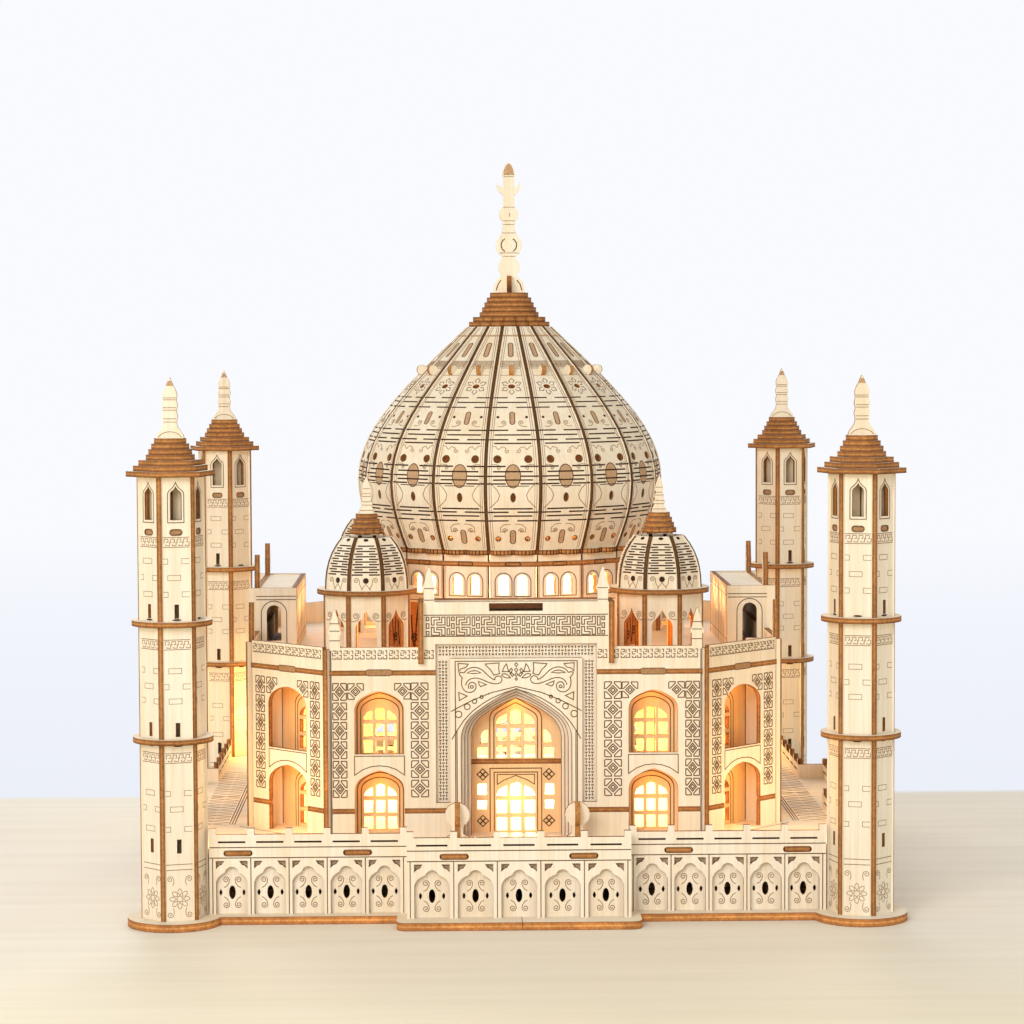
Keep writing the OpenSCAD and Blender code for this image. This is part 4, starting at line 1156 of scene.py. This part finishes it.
# --- kiosks
KIOSK_DOME = ((17.4, KIOSK_TOP + PLY), (17.4, 129), (15, 135.5), (7.4, 142.3))
KIOSK_PROFILE = [p for p in bezier(*KIOSK_DOME, n=7) if p[1] < 140.6]


def kiosk_lines(sheet, cx, cy):
    for i in range(8):
        strip = Strip(KIOSK_PROFILE, radians(22.5), 1.6, 45 * i, cx, cy)
        kerf_rows(sheet, strip, [strip.s_at(125.4 + k) for k in range(12)], 0.42, True, hub=1.25)
        sheet.fill(strip, oval(0, 3.9, 1.15, 1.15, 12), KERF_AND_SHADE)
        sheet.fill(strip, oval(0, strip.s_at(138.6), 1, 0.7, 10), KERF_AND_SHADE)
        sheet.scrolls(strip, 3.7, 4, 1.15, [(1.3, 0.5), (2, 1.6), (2.5, 2.6)], 0.22)
        sheet.fine(strip, [(-1.9, 0.3), (0, 2.6), (1.9, 0.3)])
        panel = about(cx, cy, upright(45 * i, KIOSK_A))
        sheet.scrolls(panel, 3.95, 109.3, 1.3, [(6.3, 107.6), (4.6, 107.2), (3.2, 107.9)], 0.24)


for sx, sy in CORNERS:
    tag = ("r" if sx > 0 else "l") + ("b" if sy > 0 else "f")
    draw(f"kiosk_lines_{tag}", kiosk_lines, sx * KIOSK_OFF, sy * KIOSK_OFF)


# --- drum
DRUM_HALF = DRUM_R * tan(HALF_GORE)
BUMPS, CORNICE_R = 2 * GORES, 57.2
BUMP_R = pi * CORNICE_R / BUMPS
# dark dashes on the cornice's rim, painted shade for the small scallops along it
SHADE_DASHES = 7    # on each bump of the cornice
# Scrolls of the carved panels: (place across, height, radius, turn)
VINES = ((-5.6, 97, 1.9, 1), (-3, 106, 2, -1), (0.2, 96.4, 1.9, 1), (2.6, 106.6, 2, -1),
         (5.6, 98, 1.9, 1))


def drum_lines(sheet):
    hub = CORNICE_R - BUMP_R
    # painted shade: dark dashes round the cornice's rim stand in for the shade between its small scallops
    for i in range(SHADE_DASHES * BUMPS):
        theta = 360 * (i + 0.5) / (SHADE_DASHES * BUMPS)
        off = radians(theta % (360 / BUMPS) - 180 / BUMPS)
        rim = hub * cos(off) + sqrt(max(0, BUMP_R ** 2 - (hub * sin(off)) ** 2))
        sheet.fill(upright(theta, rim), box(-0.22, DRUM_TOP - PLY, 0.22, DRUM_TOP), KERF_AND_SHADE, 0.03, -0.4)
    for i in range(GORES):
        place = upright(360 * i / GORES, DRUM_R)
        for s in BOTH:
            x, r = s * 3.75, 3.35
            window = [(x + r, 115)] + arc(x, 121, r, 0, 180, 18) + [(x - r, 115)]
            sheet.line(place, window, 0.28, True)
            side = s * (DRUM_HALF - 0.8)
            sheet.fine(place, [(side, 112.4), (side, 126.8)])
        band = upright(360 * i / GORES, DRUM_R + 0.3)
        sheet.line(band, pill(0, 127.9, 6, 1.7, 3), 0.26, True, KERF_AND_SHADE)
        sheet.bars(place, ((112.6, DRUM_HALF - 0.8),), 0.24)
        # Carved panel below: an engraved red-brown field, darkened with painted shade for the low drum wall
        # behind the kiosks
        sheet.fill(place, box(-8.2, 92.2, 8.2, 111.6), CARVED_AND_SHADED)
        vines = [[(x, 101.8 + 8.6 * sin(x * 1.35)) for x in np.linspace(-7.4, 7.4, 25)]]
        vines += [spiral(x, z, r, 1.5, 0.6, hand, 14) for x, z, r, hand in VINES]
        for vine in vines:
            sheet.line(place, vine, 0.5, mat=KERF_AND_SHADE, proud=DEPTH * 1.4)


draw("drum_lines", drum_lines)


# --- terrace
RIM, GROOVES, SEAM_END = 124.8, (112.2, 111.15, 110.1), 113.0
DIAMOND, DIAMOND_LEAN = 6.75, 3.1


def deck_lines(sheet):
    """Diamond pattern along the terrace's rim, and triple grooves beside it."""
    for az in SIDES:
        turned = Matrix.Rotation(radians(az), 3, "Z")
        place = lambda x, y, h, m=turned: m @ Vector((x, y, DECK_Z + h))
        sheet.bars(place, [(-y, 69) for y in GROOVES], 0.3)
        sheet.line(place, [(73.3, -107.7), (107.7, -73.3)], 0.3)
        sheet.line(place, [(0, -SEAM_END), (0, -RIM)], 0.5)
        for k in range(-10, 11):
            for lean in (-DIAMOND_LEAN, DIAMOND_LEAN):
                x = k * DIAMOND
                sheet.fine(place, [(x - lean, -SEAM_END), (x + lean, -RIM)], 0.35)


draw("deck_lines", deck_lines)


# --- camera
CAM_AT = Vector((-25.02, -1187.41, 215.95)) * MM
CAM_YAW, CAM_PITCH, CAM_ROLL = radians(1.25), radians(3.40), radians(-0.22)
LENS, SENSOR = 100.7, 36.0

ahead = Vector((sin(CAM_YAW) * cos(CAM_PITCH), cos(CAM_YAW) * cos(CAM_PITCH), -sin(CAM_PITCH)))
level = Vector((cos(CAM_YAW), -sin(CAM_YAW), 0.0))
above = level.cross(ahead)
right = level * cos(CAM_ROLL) + above * sin(CAM_ROLL)
up = above * cos(CAM_ROLL) - level * sin(CAM_ROLL)
camera = link(bpy.data.objects.new("camera", bpy.data.cameras.new("camera")))
camera.matrix_world = Matrix.Translation(CAM_AT) @ Matrix((right, up, -ahead)).transposed().to_4x4()
camera.data.sensor_width = SENSOR
camera.data.lens = LENS
camera.data.clip_start = 0.01
camera.data.clip_end = 50.0
bpy.context.scene.camera = camera
bpy.context.scene.view_settings.view_transform = "Standard"


# --- studio
def lamp(name, kind, at, energy, colour, size, aim=None, cone=None):
    data = bpy.data.lights.new(name, kind)
    data.energy = energy
    data.color = colour
    if kind == "AREA":
        data.shape = "DISK"
        data.size = size * MM
    else:
        data.shadow_soft_size = size * MM
    if cone:
        data.spot_size = radians(cone)
        data.spot_blend = 0.15
    obj = link(bpy.data.objects.new(name, data))
    obj.location = Vector(at) * MM
    if aim:
        obj.rotation_mode = "QUATERNION"
        obj.rotation_quaternion = (Vector(aim) - Vector(at)).to_track_quat("-Z", "Y")
    obj.visible_camera = False


# The sky is white round the horizon and dimmer overhead, so that the key light can model the domes
WHITE, DIM = (0.945, 0.96, 1.0), (0.50, 0.505, 0.52)
sky = Graph("studio", world=True)
shade = sky.ramp(sky.part(sky.coord("Generated"), "Z"), (0.22, WHITE), (0.5, DIM))
bpy.context.scene.world = sky.surface(sky.add("ShaderNodeBackground", Color=shade, Strength=1.0))

MIDDLE = (0, 0, 100)
lamp("key", "AREA", (-450, -1150, 620), 9.0, (1.0, 0.985, 0.96), 700, MIDDLE)
lamp("fill", "AREA", (900, -700, 400), 0.6, (0.98, 0.985, 1.0), 800, MIDDLE)
lamp("rear", "AREA", (-150, 1100, 800), 7.0, (1.0, 0.98, 0.96), 800, MIDDLE)

# Table top near the object, yellower in front of it, and the bright room beyond the table's rear edge;
# these four are places along Y in metres
FRONT, TABLE_END, ROOM, ROOM_END = (-0.10, -0.40), 0.165, 0.176, 2.0
FLOOR_HALF = 6000
g = Graph("studio_floor")
away = g.part(g.coord("Object"), "Y")
wood = g.ramp(g.noise((6.0, 90.0, 6.0), 4.0), (0.3, (0.80, 0.735, 0.60)), (0.7, (0.86, 0.80, 0.675)))
wood = g.mix(g.between(away, *FRONT), wood, g.times(wood, (1.1, 1.04, 0.86)))
haze = g.ramp(g.between(away, ROOM, ROOM_END), (0.0, (0.84, 0.87, 0.945)), (1.0, WHITE))
table = g.add("ShaderNodeBsdfPrincipled", Base_Color=wood, Roughness=0.6, Specular_IOR_Level=0.12)
room = g.add("ShaderNodeEmission", Color=haze, Strength=1.0)
blend = g.add("ShaderNodeMixShader")
g.put(blend.inputs[0], g.between(away, TABLE_END, ROOM))
g.put(blend.inputs[1], table.outputs[0])
g.put(blend.inputs[2], room.outputs[0])
floor = piece("studio_floor", [(x * FLOOR_HALF, y * FLOOR_HALF, 0) for x, y in box(-1, -1, 1, 1)],
              [(0, 1, 2, 3)], g.surface(blend))

# --- light inside the model
WARM, ORANGE, YELLOW = (1.0, 0.70, 0.32), (1.0, 0.42, 0.09), (1.0, 0.66, 0.22)


def glow(name, at, energy, size=3, colour=ORANGE):
    lamp(name, "POINT", at, energy, colour, size)


glow("hall", (0, 0, 66), 1.3, 14, WARM)
lamp("drum", "SPOT", (0, 0, 131), 1.0, WARM, 8, (0, 0, 0), cone=172)
glow("dome", (0, 0, 165), 0.02, 12)
for az in SIDES:
    face = upright(az, HALL)
    for z in (80.0, 46.0):
        for s in BOTH:
            glow(f"bay_{az}_{z}_{s}", face(s * BAY_X, z, -6), 0.0022)
        glow(f"chamfer_bay_{az}_{z}", upright(az + 45, CHAMFER_D)(0, z, -6), 0.003)
    for z in (78.0, 40.0):
        glow(f"iwan_{az}_{z}", face(0, z, -8), 0.003)
    for turn in (22.5, 67.5):
        glow(f"roof_{az}_{turn}", upright(az + turn, 66)(0, 112, 0), 0.004, 4)
for sx, sy in CORNERS:
    glow(f"kiosk_{sx}_{sy}", (sx * KIOSK_OFF, sy * KIOSK_OFF, 104), 0.012)
    glow(f"tower_{sx}_{sy}", (sx * TOWER_OFF, sy * TOWER_OFF, 90), 0.004, 1)
    glow(f"terrace_{sx}_{sy}", (sx * 113, sy * 113, 46), 0.033, 12, YELLOW)
